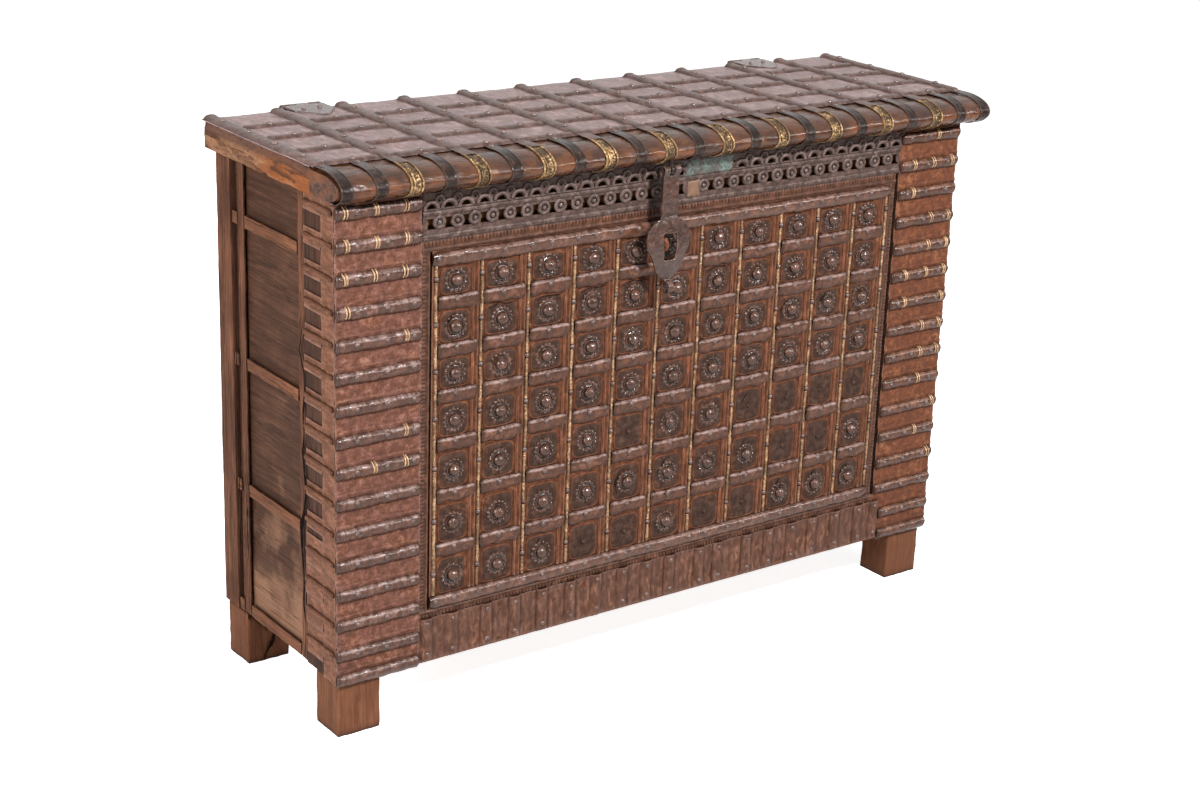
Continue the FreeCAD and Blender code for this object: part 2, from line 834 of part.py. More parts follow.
flower = rosette()
plates = []
rosettes = []
for column, (cell_left, cell_right) in enumerate(cells):
    for row in range(len(bar_z) - 1):
        foot_radius = frame_bar_radius if row == 0 else cross_rib_radius
        head_radius = frame_bar_radius if row == len(bar_z) - 2 else cross_rib_radius
        foot = bar_z[row] + foot_radius
        clear = bar_z[row + 1] - head_radius - foot
        height = clear * plate_height_share
        plates.append(block(cell_left + plate_side_gap, cell_right - plate_side_gap,
                            face_y - plate_thickness, face_y, foot, foot + height))
        if (column, row) not in worn_cells:
            rise = max(height / 2, rosette_radius + rosette_rib_gap)
            middle = vector((cell_left + cell_right) / 2, face_y - plate_thickness, foot + rise)
            copy = flower.copy()
            copy.translate(middle)
            rosettes.append(copy)
save("rosette_plates", plates)
save("rosettes", rosettes)

# Skirt
skirt_x = [centre_left + share * (centre_right - centre_left) for share in skirt_rib_shares]
skirt_x.append(centre_right + skirt_lap - skirt_rib_width / 2)
skirt_ribs = []
skirt_studs = []
for x in skirt_x:
    skirt_ribs.append(low_bar(vector(x, face_y, leg_height), Z, X, skirt_height, skirt_rib_width,
                              skirt_rib_height, FRONT))
    for z in (leg_height + skirt_stud_rise, skirt_top - skirt_stud_drop):
        skirt_studs.append(nail_head(vector(x, face_y - skirt_rib_height, z), FRONT, nail_radius,
                                     nail_height))
save("skirt_ribs", skirt_ribs)
save("skirt_studs", skirt_studs)


# Lid
def lid_section(x, growth):
    """Edge of the rounded nosing at one X, grown outwards; from above to below."""
    middle = vector(x, lid_front + nosing_curve, (lid_top + lid_bottom) / 2)
    reach = nosing_curve + growth
    rise = lid_thickness / 2 + growth
    return middle, Part.Ellipse(middle + FRONT * reach, middle + Z * rise, middle)


def nosing_outline(x, back):
    middle, ellipse = lid_section(x, 0)
    arc = Part.ArcOfEllipse(ellipse, -math.pi / 2, math.pi / 2).toShape()
    top = vector(x, middle.y, lid_top)
    bottom = vector(x, middle.y, lid_bottom)
    edges = [
        arc,
        Part.makeLine(top, vector(x, back, lid_top)),
        Part.makeLine(vector(x, back, lid_top), vector(x, back, lid_bottom)),
        Part.makeLine(vector(x, back, lid_bottom), bottom),
    ]
    return Part.Face(Part.Wire(Part.__sortEdges__(edges)))


def nosing_band(centre_x, width):
    """Metal band bent over the nosing, from its back edge to just under the front."""
    x = centre_x - width / 2
    middle, inner = lid_section(x, 0)
    outer = lid_section(x, band_thickness)[1]
    low = -math.acos((middle.y - face_y + band_end_gap) / nosing_curve)
    inner_arc = Part.ArcOfEllipse(inner, low, math.pi / 2).toShape()
    outer_arc = Part.ArcOfEllipse(outer, low, math.pi / 2).toShape()
    inner_top = vector(x, middle.y, lid_top)
    outer_top = inner_top + Z * band_thickness
    edges = [
        inner_arc,
        outer_arc,
        Part.makeLine(inner.value(low), outer.value(low)),
        Part.makeLine(inner_top, vector(x, strap_front, lid_top)),
        Part.makeLine(vector(x, strap_front, lid_top), vector(x, strap_front, outer_top.z)),
        Part.makeLine(vector(x, strap_front, outer_top.z), outer_top),
    ]
    return Part.Face(Part.Wire(Part.__sortEdges__(edges))).extrude(X * width)


lid_wood_right = lid_right - end_strap_thickness
shank_top = lid_bottom + lid_thickness / 2 + eye_shank_depth / 2
shank_hole = Part.makeCylinder(eye_shank_radius + running_clearance, shank_top - hasp_z,
                               vector(hasp_x, hasp_y, hasp_z), Z)

nosing = nosing_outline(lid_left, nosing_back).extrude(X * (lid_wood_right - lid_left))
save("lid_nosing", [nosing.cut(shank_hole)])
save("lid_end_strap", [nosing_outline(lid_wood_right, lid_back).extrude(X * end_strap_thickness)])

sheet_foot = lid_top - sheet_thickness
clamp_right = lid_left + clamp_width
save("lid_end_clamp", [block(lid_left, clamp_right, nosing_back, lid_back, lid_bottom, sheet_foot)])
lid_board_pitch = (lid_back - nosing_back + board_joint) / lid_board_count
lid_boards = []
for i in range(lid_board_count):
    board_y = nosing_back + i * lid_board_pitch
    lid_boards.append(block(clamp_right, lid_wood_right, board_y, board_y + lid_board_pitch - board_joint,
                            lid_bottom, sheet_foot))
save("lid_boards", lid_boards)
save("lid_sheet", [block(lid_left, lid_wood_right, nosing_back, lid_back, sheet_foot, lid_top)])

first_cross_y = strap_front + cross_strap_width / 2
last_cross_y = lid_back - hinge_leaf_length - cross_strap_hinge_gap - cross_strap_width / 2
cross_y = [first_cross_y + share * (last_cross_y - first_cross_y) for share in cross_strap_shares]
strap_length = lid_back - strap_front
long_straps = []
for x in strap_x:
    long_straps.append(low_bar(vector(x, strap_front, lid_top), Y, X, strap_length, long_strap_width,
                               long_strap_height, Z))
save("lid_long_straps", long_straps)

cross_straps = []
lid_nails = []
cross_foot = lid_top + cross_strap_height
long_foot = lid_top + long_strap_height
for x0, x1 in zip(strap_x[:-1], strap_x[1:]):
    start_x = x0 + long_strap_width / 2
    for y in cross_y:
        cross_straps.append(low_bar(vector(start_x, y, lid_top), X, Y, x1 - x0 - long_strap_width,
                                    cross_strap_width, cross_strap_height, Z))
        lid_nails.append(nail_head(vector((x0 + x1) / 2, y, cross_foot), Z, lid_nail_radius,
                                   lid_nail_height))
save("lid_cross_straps", cross_straps)
strap_stops = cross_y + [lid_back]
for x in strap_x:
    for y0, y1 in zip(strap_stops[:-1], strap_stops[1:]):
        lid_nails.append(nail_head(vector(x, (y0 + y1) / 2, long_foot), Z, lid_nail_radius,
                                   lid_nail_height))

brass_x = strap_x[1:-1]
iron_x = [(x0 + x1) / 2 for x0, x1 in zip(strap_x[:-1], strap_x[1:])]
iron_x += [strap_x[0], strap_x[-1] - end_strap_thickness]


brass_bands = [nosing_band(x, brass_band_width).cut(shank_hole) for x in brass_x]
iron_bands = [nosing_band(x, iron_band_width) for x in iron_x]
save("nosing_brass_bands", brass_bands)
save("nosing_iron_bands", iron_bands)
for x in brass_x + iron_x:
    lid_nails.append(nail_head(vector(x, strap_front - lid_nail_radius, lid_top + band_thickness), Z,
                               lid_nail_radius, lid_nail_height))


# Rear hinges
def hinge(centre_x):
    """Lid leaf, body leaf and pin of one strap hinge."""
    half = hinge_width / 2
    middle_half = hinge_width / 6 - knuckle_gap / 2
    leaf_back = hinge_y - hinge_knuckle_radius - knuckle_gap
    tip_y = lid_back - hinge_leaf_length
    shoulder_y = lid_back - hinge_shoulder
    outline = [
        vector(centre_x - half, leaf_back, lid_top),
        vector(centre_x - half, shoulder_y, lid_top),
        vector(centre_x - hinge_tip_half_width, tip_y, lid_top),
        vector(centre_x + hinge_tip_half_width, tip_y, lid_top),
        vector(centre_x + half, shoulder_y, lid_top),
        vector(centre_x + half, leaf_back, lid_top),
    ]
    leaf = prism(outline, Z * hinge_leaf_thickness)
    tongue = block(centre_x - middle_half, centre_x + middle_half, leaf_back, hinge_y,
                   lid_top, lid_top + hinge_leaf_thickness)
    barrel = Part.makeCylinder(hinge_knuckle_radius, 2 * middle_half,
                               vector(centre_x - middle_half, hinge_y, hinge_z), X)
    bore = Part.makeCylinder(hinge_pin_radius + running_clearance, hinge_width + 2 * cut_overrun,
                             vector(centre_x - half - cut_overrun, hinge_y, hinge_z), X)
    lid_leaf = leaf.fuse([tongue, barrel]).cut(bore).removeSplitter()

    outer_length = half - middle_half - knuckle_gap
    plate_y = hinge_y - hinge_knuckle_radius
    shelf_z = body_top - hinge_crank_drop
    body_leaf = block(centre_x - half, centre_x + half, body_back, body_back + hinge_leaf_thickness,
                      shelf_z - hinge_back_length, shelf_z)
    parts = [block(centre_x - half, centre_x + half, body_back, plate_y + hinge_leaf_thickness,
                   shelf_z - hinge_leaf_thickness, shelf_z)]
    for x in (centre_x - half, centre_x + half - outer_length):
        parts.append(block(x, x + outer_length, plate_y, plate_y + hinge_leaf_thickness,
                           shelf_z - hinge_leaf_thickness, hinge_z))
        parts.append(Part.makeCylinder(hinge_knuckle_radius, outer_length,
                                       vector(x, hinge_y, hinge_z), X))
    body_leaf = body_leaf.fuse(parts).cut(bore).removeSplitter()
    pin = Part.makeCylinder(hinge_pin_radius, hinge_width, vector(centre_x - half, hinge_y, hinge_z), X)
    return lid_leaf, body_leaf, pin


back_nails = []
for side, gap in zip(("left", "right"), hinge_gaps):
    centre_x = (strap_x[gap] + strap_x[gap + 1]) / 2
    lid_leaf, body_leaf, pin = hinge(centre_x)
    save("hinge_lid_leaf_" + side, [lid_leaf])
    save("hinge_body_leaf_" + side, [body_leaf])
    save("hinge_pin_" + side, [pin])
    for across_share in hinge_nail_shares:
        nail_x = centre_x - hinge_width / 2 + across_share * hinge_width
        lid_nails.append(nail_head(vector(nail_x, lid_back - hinge_shoulder / 2,
                                          lid_top + hinge_leaf_thickness), Z, nail_radius, nail_height))
        for share in hinge_back_nail_shares:
            nail_z = body_top - hinge_crank_drop - share * hinge_back_length
            back_nails.append(nail_head(vector(nail_x, body_back + hinge_leaf_thickness, nail_z),
                                        Y, nail_radius, nail_height))
save("lid_nails", lid_nails)
save("hinge_body_nails", back_nails)


# Hasp
def hasp():
    half = hasp_arm_width / 2
    notch_half = eye_width / 2 + eye_clearance
    barrel = Part.makeCylinder(hasp_knuckle_radius, hasp_arm_width,
                               vector(hasp_x - half, hasp_y, hasp_z), X)
    arm = block(hasp_x - half, hasp_x + half, hasp_y - hasp_arm_thickness / 2,
                hasp_y + hasp_arm_thickness / 2, neck_z, hasp_z)
    upright = [e for e in arm.Edges if e.BoundBox.ZLength > (hasp_z - neck_z) / 2]
    arm = arm.makeChamfer(hasp_arm_chamfer, [e for e in upright if e.BoundBox.YMax < hasp_y])
    tip = neck_z - hasp_plate_length
    wide_z = neck_z - hasp_plate_wide_share * hasp_plate_length
    back = hasp_y + hasp_plate_thickness / 2

    def side_point(sign, width, z):
        return vector(hasp_x + sign * width, back, z)

    edges = []
    for sign in (-1, 1):
        neck = side_point(sign, half, neck_z)
        shoulder = side_point(sign, hasp_plate_shoulder_share * hasp_plate_half_width,
                              neck_z - hasp_plate_shoulder_drop_share * hasp_plate_length)
        wide = side_point(sign, hasp_plate_half_width, wide_z)
        cheek = side_point(sign, hasp_plate_cheek_share * hasp_plate_half_width,
                           (wide_z + tip) / 2)
        end = side_point(sign, hasp_tip_half_width, tip)
        edges.append(Part.Arc(neck, shoulder, wide).toShape())
        edges.append(Part.Arc(wide, cheek, end).toShape())
    edges.append(Part.makeLine(side_point(-1, half, neck_z), side_point(1, half, neck_z)))
    edges.append(Part.makeLine(side_point(-1, hasp_tip_half_width, tip),
                               side_point(1, hasp_tip_half_width, tip)))
    plate = Part.Face(Part.Wire(Part.__sortEdges__(edges))).extrude(FRONT * hasp_plate_thickness)
    slot = block(hasp_x - hasp_slot_width / 2, hasp_x + hasp_slot_width / 2,
                 back - hasp_plate_thickness - cut_overrun, back + cut_overrun,
                 slot_top - hasp_slot_height, slot_top)
    curl_z = tip - hasp_curl_drop
    curl_y = back - hasp_curl_radius
    neck = block(hasp_x - hasp_tip_half_width, hasp_x + hasp_tip_half_width,
                 back - hasp_plate_thickness, back, curl_z, tip)
    curl = Part.makeCylinder(hasp_curl_radius, 2 * hasp_tip_half_width,
                             vector(hasp_x - hasp_tip_half_width, curl_y, curl_z), X)
    solid = arm.fuse([barrel, plate, neck, curl])
    notch_reach = hasp_knuckle_radius + cut_overrun
    notch = block(hasp_x - notch_half, hasp_x + notch_half, hasp_y - notch_reach, hasp_y + notch_reach,
                  hasp_z - hasp_knuckle_radius - eye_clearance, hasp_z + notch_reach)
    bore = Part.makeCylinder(hasp_pin_radius + running_clearance, hasp_arm_width + 2 * cut_overrun,
                             vector(hasp_x - half - cut_overrun, hasp_y, hasp_z), X)
    curl_bore = Part.makeCylinder(hasp_curl_bore, 2 * (hasp_tip_half_width + cut_overrun),
                                  vector(hasp_x - hasp_tip_half_width - cut_overrun, curl_y, curl_z), X)
    return solid.cut([notch, bore, slot, curl_bore])


save("hasp", hasp().Solids)
pin = Part.makeCylinder(hasp_pin_radius, hasp_arm_width,
                        vector(hasp_x - hasp_arm_width / 2, hasp_y, hasp_z), X)
save("hasp_pin", [pin])

eye_ring = Part.makeCylinder(hasp_knuckle_radius, eye_width,
                             vector(hasp_x - eye_width / 2, hasp_y, hasp_z), X)
eye_shank = Part.makeCylinder(eye_shank_radius, shank_top - hasp_z, vector(hasp_x, hasp_y, hasp_z), Z)
eye_bore = Part.makeCylinder(hasp_pin_radius + running_clearance, eye_width + 2 * cut_overrun,
                             vector(hasp_x - eye_width / 2 - cut_overrun, hasp_y, hasp_z), X)
save("hasp_eye", [eye_ring.fuse(eye_shank).cut(eye_bore)])

# Staple, a loop of rod standing upright on its plate
plate = block(hasp_x - staple_plate_width / 2, hasp_x + staple_plate_width / 2,
              face_y - staple_plate_thickness, face_y, staple_foot, staple_foot + staple_plate_height)
save("staple_plate", [plate])
nose_radius = staple_height / 2 - staple_rod_radius
leg_end = staple_reach - staple_rod_radius - nose_radius
loop_y = face_y - leg_end
low = vector(hasp_x, face_y - staple_plate_thickness, staple_z - nose_radius)
high = vector(hasp_x, face_y - staple_plate_thickness, staple_z + nose_radius)
path = Part.Wire([
    Part.makeLine(low, vector(hasp_x, loop_y, low.z)),
    Part.Arc(vector(hasp_x, loop_y, low.z), vector(hasp_x, loop_y - nose_radius, staple_z),
             vector(hasp_x, loop_y, high.z)).toShape(),
    Part.makeLine(vector(hasp_x, loop_y, high.z), high),
])
section = Part.Wire([Part.makeCircle(staple_rod_radius, low, FRONT)])
save("staple", [path.makePipeShell([section], True, False)])
print("overall", overall_width, overall_depth, lid_top + long_strap_height + lid_nail_height)
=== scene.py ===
# %% [markdown]
# # A damchiya chest
# The chest is a long wooden box on four block legs. Thin iron is nailed over its
# front and lid, and brass strips and rings are laid over the iron.
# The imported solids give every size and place. Each piece below is modelled over
# its solid, with the dents, wear and colour that the plain solid lacks.

# %% The fixed frame
import bmesh
import bpy
import math
import random
from mathutils import Matrix, Vector, noise


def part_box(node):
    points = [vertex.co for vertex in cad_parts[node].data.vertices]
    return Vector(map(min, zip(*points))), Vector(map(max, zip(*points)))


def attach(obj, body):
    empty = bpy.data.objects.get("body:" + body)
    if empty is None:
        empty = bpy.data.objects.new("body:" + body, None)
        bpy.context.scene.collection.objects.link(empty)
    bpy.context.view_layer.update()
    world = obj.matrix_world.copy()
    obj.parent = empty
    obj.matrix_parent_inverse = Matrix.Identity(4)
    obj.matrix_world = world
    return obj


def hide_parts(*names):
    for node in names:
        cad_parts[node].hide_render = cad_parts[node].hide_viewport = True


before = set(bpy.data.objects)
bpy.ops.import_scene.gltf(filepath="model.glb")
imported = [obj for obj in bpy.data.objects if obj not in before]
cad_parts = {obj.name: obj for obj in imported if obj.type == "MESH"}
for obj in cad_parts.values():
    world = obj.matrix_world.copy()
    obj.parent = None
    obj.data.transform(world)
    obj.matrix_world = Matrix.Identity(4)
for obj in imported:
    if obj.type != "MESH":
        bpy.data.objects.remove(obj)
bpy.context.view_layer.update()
mm = 0.001

# %% [markdown]
# ## Reading places from the solids
# A node such as the cross ribs holds many separate solids. Their boxes say where
# each modelled copy goes, so nothing is measured twice. Loose triangles are merged
# in a copy first, and then each connected group of points is one solid.

# %% Boxes of the separate solids
def solids_of(node):
    """Lowest and highest corner of each separate solid of a CAD node."""
    points = bmesh.new()
    points.from_mesh(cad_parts[node].data)
    bmesh.ops.remove_doubles(points, verts=points.verts, dist=1e-6)
    waiting = set(points.verts)
    boxes = []
    while waiting:
        group = [waiting.pop()]
        for vert in group:
            for edge in vert.link_edges:
                other = edge.other_vert(vert)
                if other in waiting:
                    waiting.discard(other)
                    group.append(other)
        low = Vector([min(v.co[i] for v in group) for i in range(3)])
        high = Vector([max(v.co[i] for v in group) for i in range(3)])
        boxes.append((low, high))
    points.free()
    boxes.sort(key=lambda box: (round(box[0].x, 4), round(box[0].z, 4), round(box[0].y, 4)))
    return boxes


def middle(box):
    return (box[0] + box[1]) / 2


sheet_low, sheet_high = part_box("front_sheets")
face_y = sheet_low.y
body_left, body_right = sheet_low.x, sheet_high.x
leg_top, body_top = sheet_low.z, sheet_high.z
lid_low, lid_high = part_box("lid_sheet")
lid_top = lid_high.z
print("front face at", round(face_y, 4), "lid top at", round(lid_top, 4))

# %% [markdown]
# ## Helpers for modelling
# Nearly every piece is thin metal with a raised form: a rib, a strip, a band.
# Such a piece starts as a flat grid. Its points are then raised to the form that
# the smith hammered, and Solidify gives the sheet its thickness.

# %% Clearing the selection, applying modifiers and joining
random.seed(7)
full_turn = 6.28
weld_distance = 0.01 * mm
sheet_thickness = 0.8 * mm


def clear_selection():
    bpy.ops.object.select_all(action="DESELECT")


def choose(*things):
    clear_selection()
    for thing in things:
        thing.select_set(True)
    bpy.context.view_layer.objects.active = things[0]


def apply_all(thing):
    """Apply every modifier, from the first to the last."""
    choose(thing)
    for modifier in list(thing.modifiers):
        bpy.ops.object.modifier_apply(modifier=modifier.name)
    return thing


def join(name, things):
    """Join several objects into one piece."""
    choose(*things)
    if len(things) > 1:
        bpy.ops.object.join()
    whole = bpy.context.view_layer.objects.active
    whole.name = name
    whole.data.name = name
    return whole


def copy_of(thing):
    """A copy that has a mesh of its own."""
    twin = thing.copy()
    twin.data = thing.data.copy()
    bpy.context.collection.objects.link(twin)
    return twin


def discard(*things):
    for thing in things:
        bpy.data.objects.remove(thing)


def smooth(thing, angle=40):
    choose(thing)
    bpy.ops.object.shade_smooth_by_angle(angle=math.radians(angle))
    return thing


def merge_doubles(thing):
    """Weld the points that lie on each other."""
    choose(thing)
    bpy.ops.object.mode_set(mode="EDIT")
    bpy.ops.mesh.select_all(action="SELECT")
    bpy.ops.mesh.remove_doubles(threshold=weld_distance)
    bpy.ops.object.mode_set(mode="OBJECT")


# %% Hammering: uneven metal and wood
def hammer(thing, depth, size, level=1.0, group=""):
    """Push the surface in and out by a cloudy pattern; level 1 only pushes in."""
    texture = bpy.data.textures.new(thing.name + "_dents", "CLOUDS")
    texture.noise_scale = size
    texture.noise_depth = 2
    dents = thing.modifiers.new("dents", "DISPLACE")
    dents.texture = texture
    dents.strength = depth
    dents.mid_level = level
    dents.vertex_group = group
    apply_all(thing)
    return thing


def rough(point, size, seed=0.0):
    """Smooth random value from -1 to 1 at a place."""
    return noise.noise(Vector(point) / size + Vector((seed, seed * 0.7, seed * 1.3)))


# %% A raised sheet
def raised_sheet(name, corner, along, across, out, columns, rows, height,
                 thickness=sheet_thickness):
    """Grid from a corner along two edges, raised outwards by height(u, v)."""
    clear_selection()
    bpy.ops.mesh.primitive_grid_add(x_subdivisions=columns, y_subdivisions=rows, size=1)
    sheet = bpy.context.object
    sheet.name = name
    mesh = sheet.data
    for vert in mesh.vertices:
        u = vert.co.x + 0.5
        v = vert.co.y + 0.5
        vert.co = corner + along * u + across * v + out * height(u, v)
    if along.cross(across).dot(out) < 0:
        mesh.flip_normals()
    if thickness:
        skin = sheet.modifiers.new("skin", "SOLIDIFY")
        skin.thickness = thickness
        skin.offset = -1
        apply_all(sheet)
    return sheet


RIGHT = Vector((1, 0, 0))
FRONT = Vector((0, -1, 0))
BACK = Vector((0, 1, 0))
UP = Vector((0, 0, 1))
LEFT = Vector((-1, 0, 0))


def unit_strip(name, columns, rows):
    """Flat grid without thickness, to be bent into a strip."""
    return raised_sheet(name, Vector((0, 0, 0)), RIGHT, UP, FRONT, columns, rows,
                        lambda u, v: 0.0, 0)


def sheet_over(name, low, high, columns, rows, height, thickness=sheet_thickness):
    """Sheet on the back of a box of the front, raised forwards."""
    size = high - low
    return raised_sheet(name, Vector((low.x, high.y, low.z)), RIGHT * size.x, UP * size.z,
                        FRONT, columns, rows, height, thickness)


print("helpers ready")

# %% [markdown]
# ## Finishes
# Each finish is one node material. It starts from a base colour, and layers of
# noise add patches, streaks, pits and wear. Some layers paint shade into creases
# and between pieces, and paint highlights on faces turned up. The same layers drive
# the roughness and the bump, so that a rusty patch is also dull and rough. All
# patterns read Object coordinates, so they stay on the piece when it moves.

# %% A helper that lays one layer on another
class Finish:
    def __init__(self, name):
        self.material = bpy.data.materials.new(name)
        self.material.use_nodes = True
        self.tree = self.material.node_tree
        self.shader = self.tree.nodes["Principled BSDF"]
        self.coords = self.tree.nodes.new("ShaderNodeTexCoord")
        self.last_bump = None

    def node(self, kind, **inputs):
        made = self.tree.nodes.new(kind)
        for key, value in inputs.items():
            self.feed(made.inputs[key.replace("_", " ")], value)
        return made

    def feed(self, socket, value):
        if isinstance(value, bpy.types.NodeSocket):
            self.tree.links.new(value, socket)
        elif isinstance(value, tuple) and len(value) == 3 and socket.type == "RGBA":
            socket.default_value = (*value, 1)
        else:
            socket.default_value = value

    def place(self, stretch=(1, 1, 1), shift=(0, 0, 0)):
        mapping = self.node("ShaderNodeMapping", Scale=stretch, Location=shift)
        self.tree.links.new(self.coords.outputs["Object"], mapping.inputs["Vector"])
        return mapping.outputs["Vector"]

    def clouds(self, size, detail=4.0, stretch=(1, 1, 1), shift=(0, 0, 0), twist=0.0, roughness=0.6):
        """Noise whose features are about size metres across, longer where stretch is small."""
        made = self.node("ShaderNodeTexNoise", Scale=1 / size, Detail=detail, Roughness=roughness,
                         Distortion=twist)
        self.tree.links.new(self.place(stretch, shift), made.inputs["Vector"])
        return made.outputs["Fac"]

    def levels(self, value, low, high, bottom=0.0, top=1.0):
        """Stretch the values between low and high to bottom and top."""
        made = self.node("ShaderNodeMapRange", Value=value)
        made.inputs["From Min"].default_value = low
        made.inputs["From Max"].default_value = high
        made.inputs["To Min"].default_value = bottom
        made.inputs["To Max"].default_value = top
        return made.outputs["Result"]

    def sum(self, kind, a, b):
        made = self.tree.nodes.new("ShaderNodeMath")
        made.operation = kind
        self.feed(made.inputs[0], a)
        self.feed(made.inputs[1], b)
        return made.outputs[0]

    def mix(self, amount, a, b, way="MIX"):
        made = self.tree.nodes.new("ShaderNodeMix")
        made.data_type = "RGBA"
        made.blend_type = way
        self.feed(made.inputs[0], amount)
        self.feed(made.inputs[6], a)
        self.feed(made.inputs[7], b)
        return made.outputs[2]

    def edges(self, low=0.52, high=0.60):
        """1 on rubbed corners, 0 elsewhere."""
        shape = self.tree.nodes.new("ShaderNodeNewGeometry")
        return self.levels(shape.outputs["Pointiness"], low, high)

    def facing(self, axis):
        """How far a face looks along one axis of the piece, from -1 to 1."""
        split = self.node("ShaderNodeSeparateXYZ", Vector=self.coords.outputs["Normal"])
        return split.outputs[axis]

    def along(self, axis):
        """Place on the piece along one axis, in metres."""
        split = self.node("ShaderNodeSeparateXYZ", Vector=self.coords.outputs["Object"])
        return split.outputs[axis]

    def crease_shade(self, low=0.49, high=0.42):
        """1 in creases: painted shade, with the dirt that gathers there."""
        shape = self.tree.nodes.new("ShaderNodeNewGeometry")
        return self.levels(shape.outputs["Pointiness"], low, high)

    def occlusion_shade(self, reach=9 * mm, low=0.92, high=0.35):
        """1 deep between pieces that stand close together: painted shade from ambient occlusion, with
        the dirt that stays there.
        """
        made = self.tree.nodes.new("ShaderNodeAmbientOcclusion")
        made.samples = 4
        made.inputs["Distance"].default_value = reach
        return self.levels(made.outputs["AO"], low, high)

    def bump(self, height, distance, strength=1.0):
        made = self.node("ShaderNodeBump", Height=height, Distance=distance, Strength=strength)
        if self.last_bump:
            self.tree.links.new(self.last_bump, made.inputs["Normal"])
        self.last_bump = made.outputs["Normal"]

    def done(self, colour, roughness, metallic=0.0, specular=0.5):
        self.feed(self.shader.inputs["Base Color"], colour)
        self.feed(self.shader.inputs["Roughness"], roughness)
        self.shader.inputs["Metallic"].default_value = metallic
        self.shader.inputs["Specular IOR Level"].default_value = specular
        if self.last_bump:
            self.tree.links.new(self.last_bump, self.shader.inputs["Normal"])
        return self.material


# %% Forged iron, from rusty to polished by hands
def forged_iron(name, dark, body, rust, pale, rust_share=0.5, pale_share=0.5, gloss=0.42,
                stretch=(1, 1, 1), pits=0.5, shine=0.08, top_sheen=0.0, rub=0.3, mottling=0.75,
                shade=0.6, foot=0.0, wound=0.0, relief=1.0, right_sheen_loss=0.0):
    """Shine is the wax, top_sheen a painted highlight on sides that face up, shade painted shade on
    those below.

    Below the height foot the iron is dark from the damp floor; wound is the share of dark lines
    left by wire round a rib, relief the strength of the hammer marks, and right_sheen_loss the share
    of painted reflection taken away towards the chest's right end, which is painted browner there."""
    f = Finish(name)
    patches = f.clouds(46 * mm, 5, stretch)
    mottle = f.clouds(11 * mm, 6, stretch, shift=(3, 1, 2), twist=0.4)
    fine = f.clouds(3.2 * mm, 4, stretch, shift=(1, 5, 2))
    rusty = f.levels(patches, 0.66 - 0.3 * rust_share, 0.86 - 0.3 * rust_share)
    # Painted reflection: towards the right end the pale sheen is taken away and the iron is painted
    # browner.
    if right_sheen_loss:
        from_left = f.sum("ADD", f.along("X"), f.sum("MULTIPLY", patches, 0.4))
        sheen_loss_right = f.levels(from_left, 0.1, 0.7, 0, right_sheen_loss)
        body = f.mix(sheen_loss_right, body, (0.84 * body[0], 0.62 * body[1], 0.36 * body[2]))
        pale = f.mix(sheen_loss_right, pale, (0.86 * pale[0], 0.62 * pale[1], 0.40 * pale[2]))
    colour = f.mix(rusty, body, rust)
    colour = f.mix(f.levels(mottle, 0.42, 0.62), f.mix(mottling, colour, dark), colour)
    bloom = f.levels(f.sum("ADD", mottle, f.sum("MULTIPLY", patches, 0.6)), 0.88, 1.08)
    colour = f.mix(f.sum("MULTIPLY", bloom, pale_share), colour, pale)
    # Painted highlight and shade: faces turned up are painted pale in mottled patches, faces turned down
    # are painted dark.
    if top_sheen:
        sheen_on_top = f.levels(f.facing("Z"), 0.10, 0.55, 0, top_sheen)
        wear_and_sheen = f.sum("MULTIPLY", sheen_on_top, f.levels(mottle, 0.40, 0.60, 0.10, 1.0))
        colour = f.mix(wear_and_sheen, colour, pale)
        colour = f.mix(f.levels(f.facing("Z"), -0.10, -0.60, 0, shade), colour, dark)
    colour = f.mix(f.sum("MULTIPLY", f.edges(), rub), colour, pale)
    # Creases darkened: painted shade, with dirt.
    colour = f.mix(f.sum("MULTIPLY", f.crease_shade(0.495, 0.435), 0.9), colour, dark)
    colour = f.mix(f.levels(fine, 0.54, 0.66, 0, pits), colour, dark)
    if wound:
        lines = f.clouds(7 * mm, 3, (1.6, 0.05, 0.12), shift=(4, 0, 0))
        colour = f.mix(f.levels(lines, 0.54, 0.60, 0, wound), colour, dark)
    # Painted shade: near black deep between pieces that stand close together.
    black = tuple(0.35 * part for part in dark)
    colour = f.mix(f.sum("MULTIPLY", f.occlusion_shade(), 0.85), colour, black)
    if foot:
        above_floor = f.sum("ADD", f.along("Z"), f.sum("MULTIPLY", mottle, 0.02))
        damp = f.levels(above_floor, foot, foot + 0.012, 0.75, 0.0)
        colour = f.mix(damp, colour, dark)
    roughness = f.levels(f.sum("ADD", mottle, f.sum("MULTIPLY", fine, 0.5)), 0.5, 1.0,
                         gloss - 0.08, gloss + 0.2)
    f.bump(mottle, 1.5 * relief * mm, 0.7)
    f.bump(fine, 0.6 * relief * mm, 0.8)
    return f.done(colour, roughness, specular=shine)


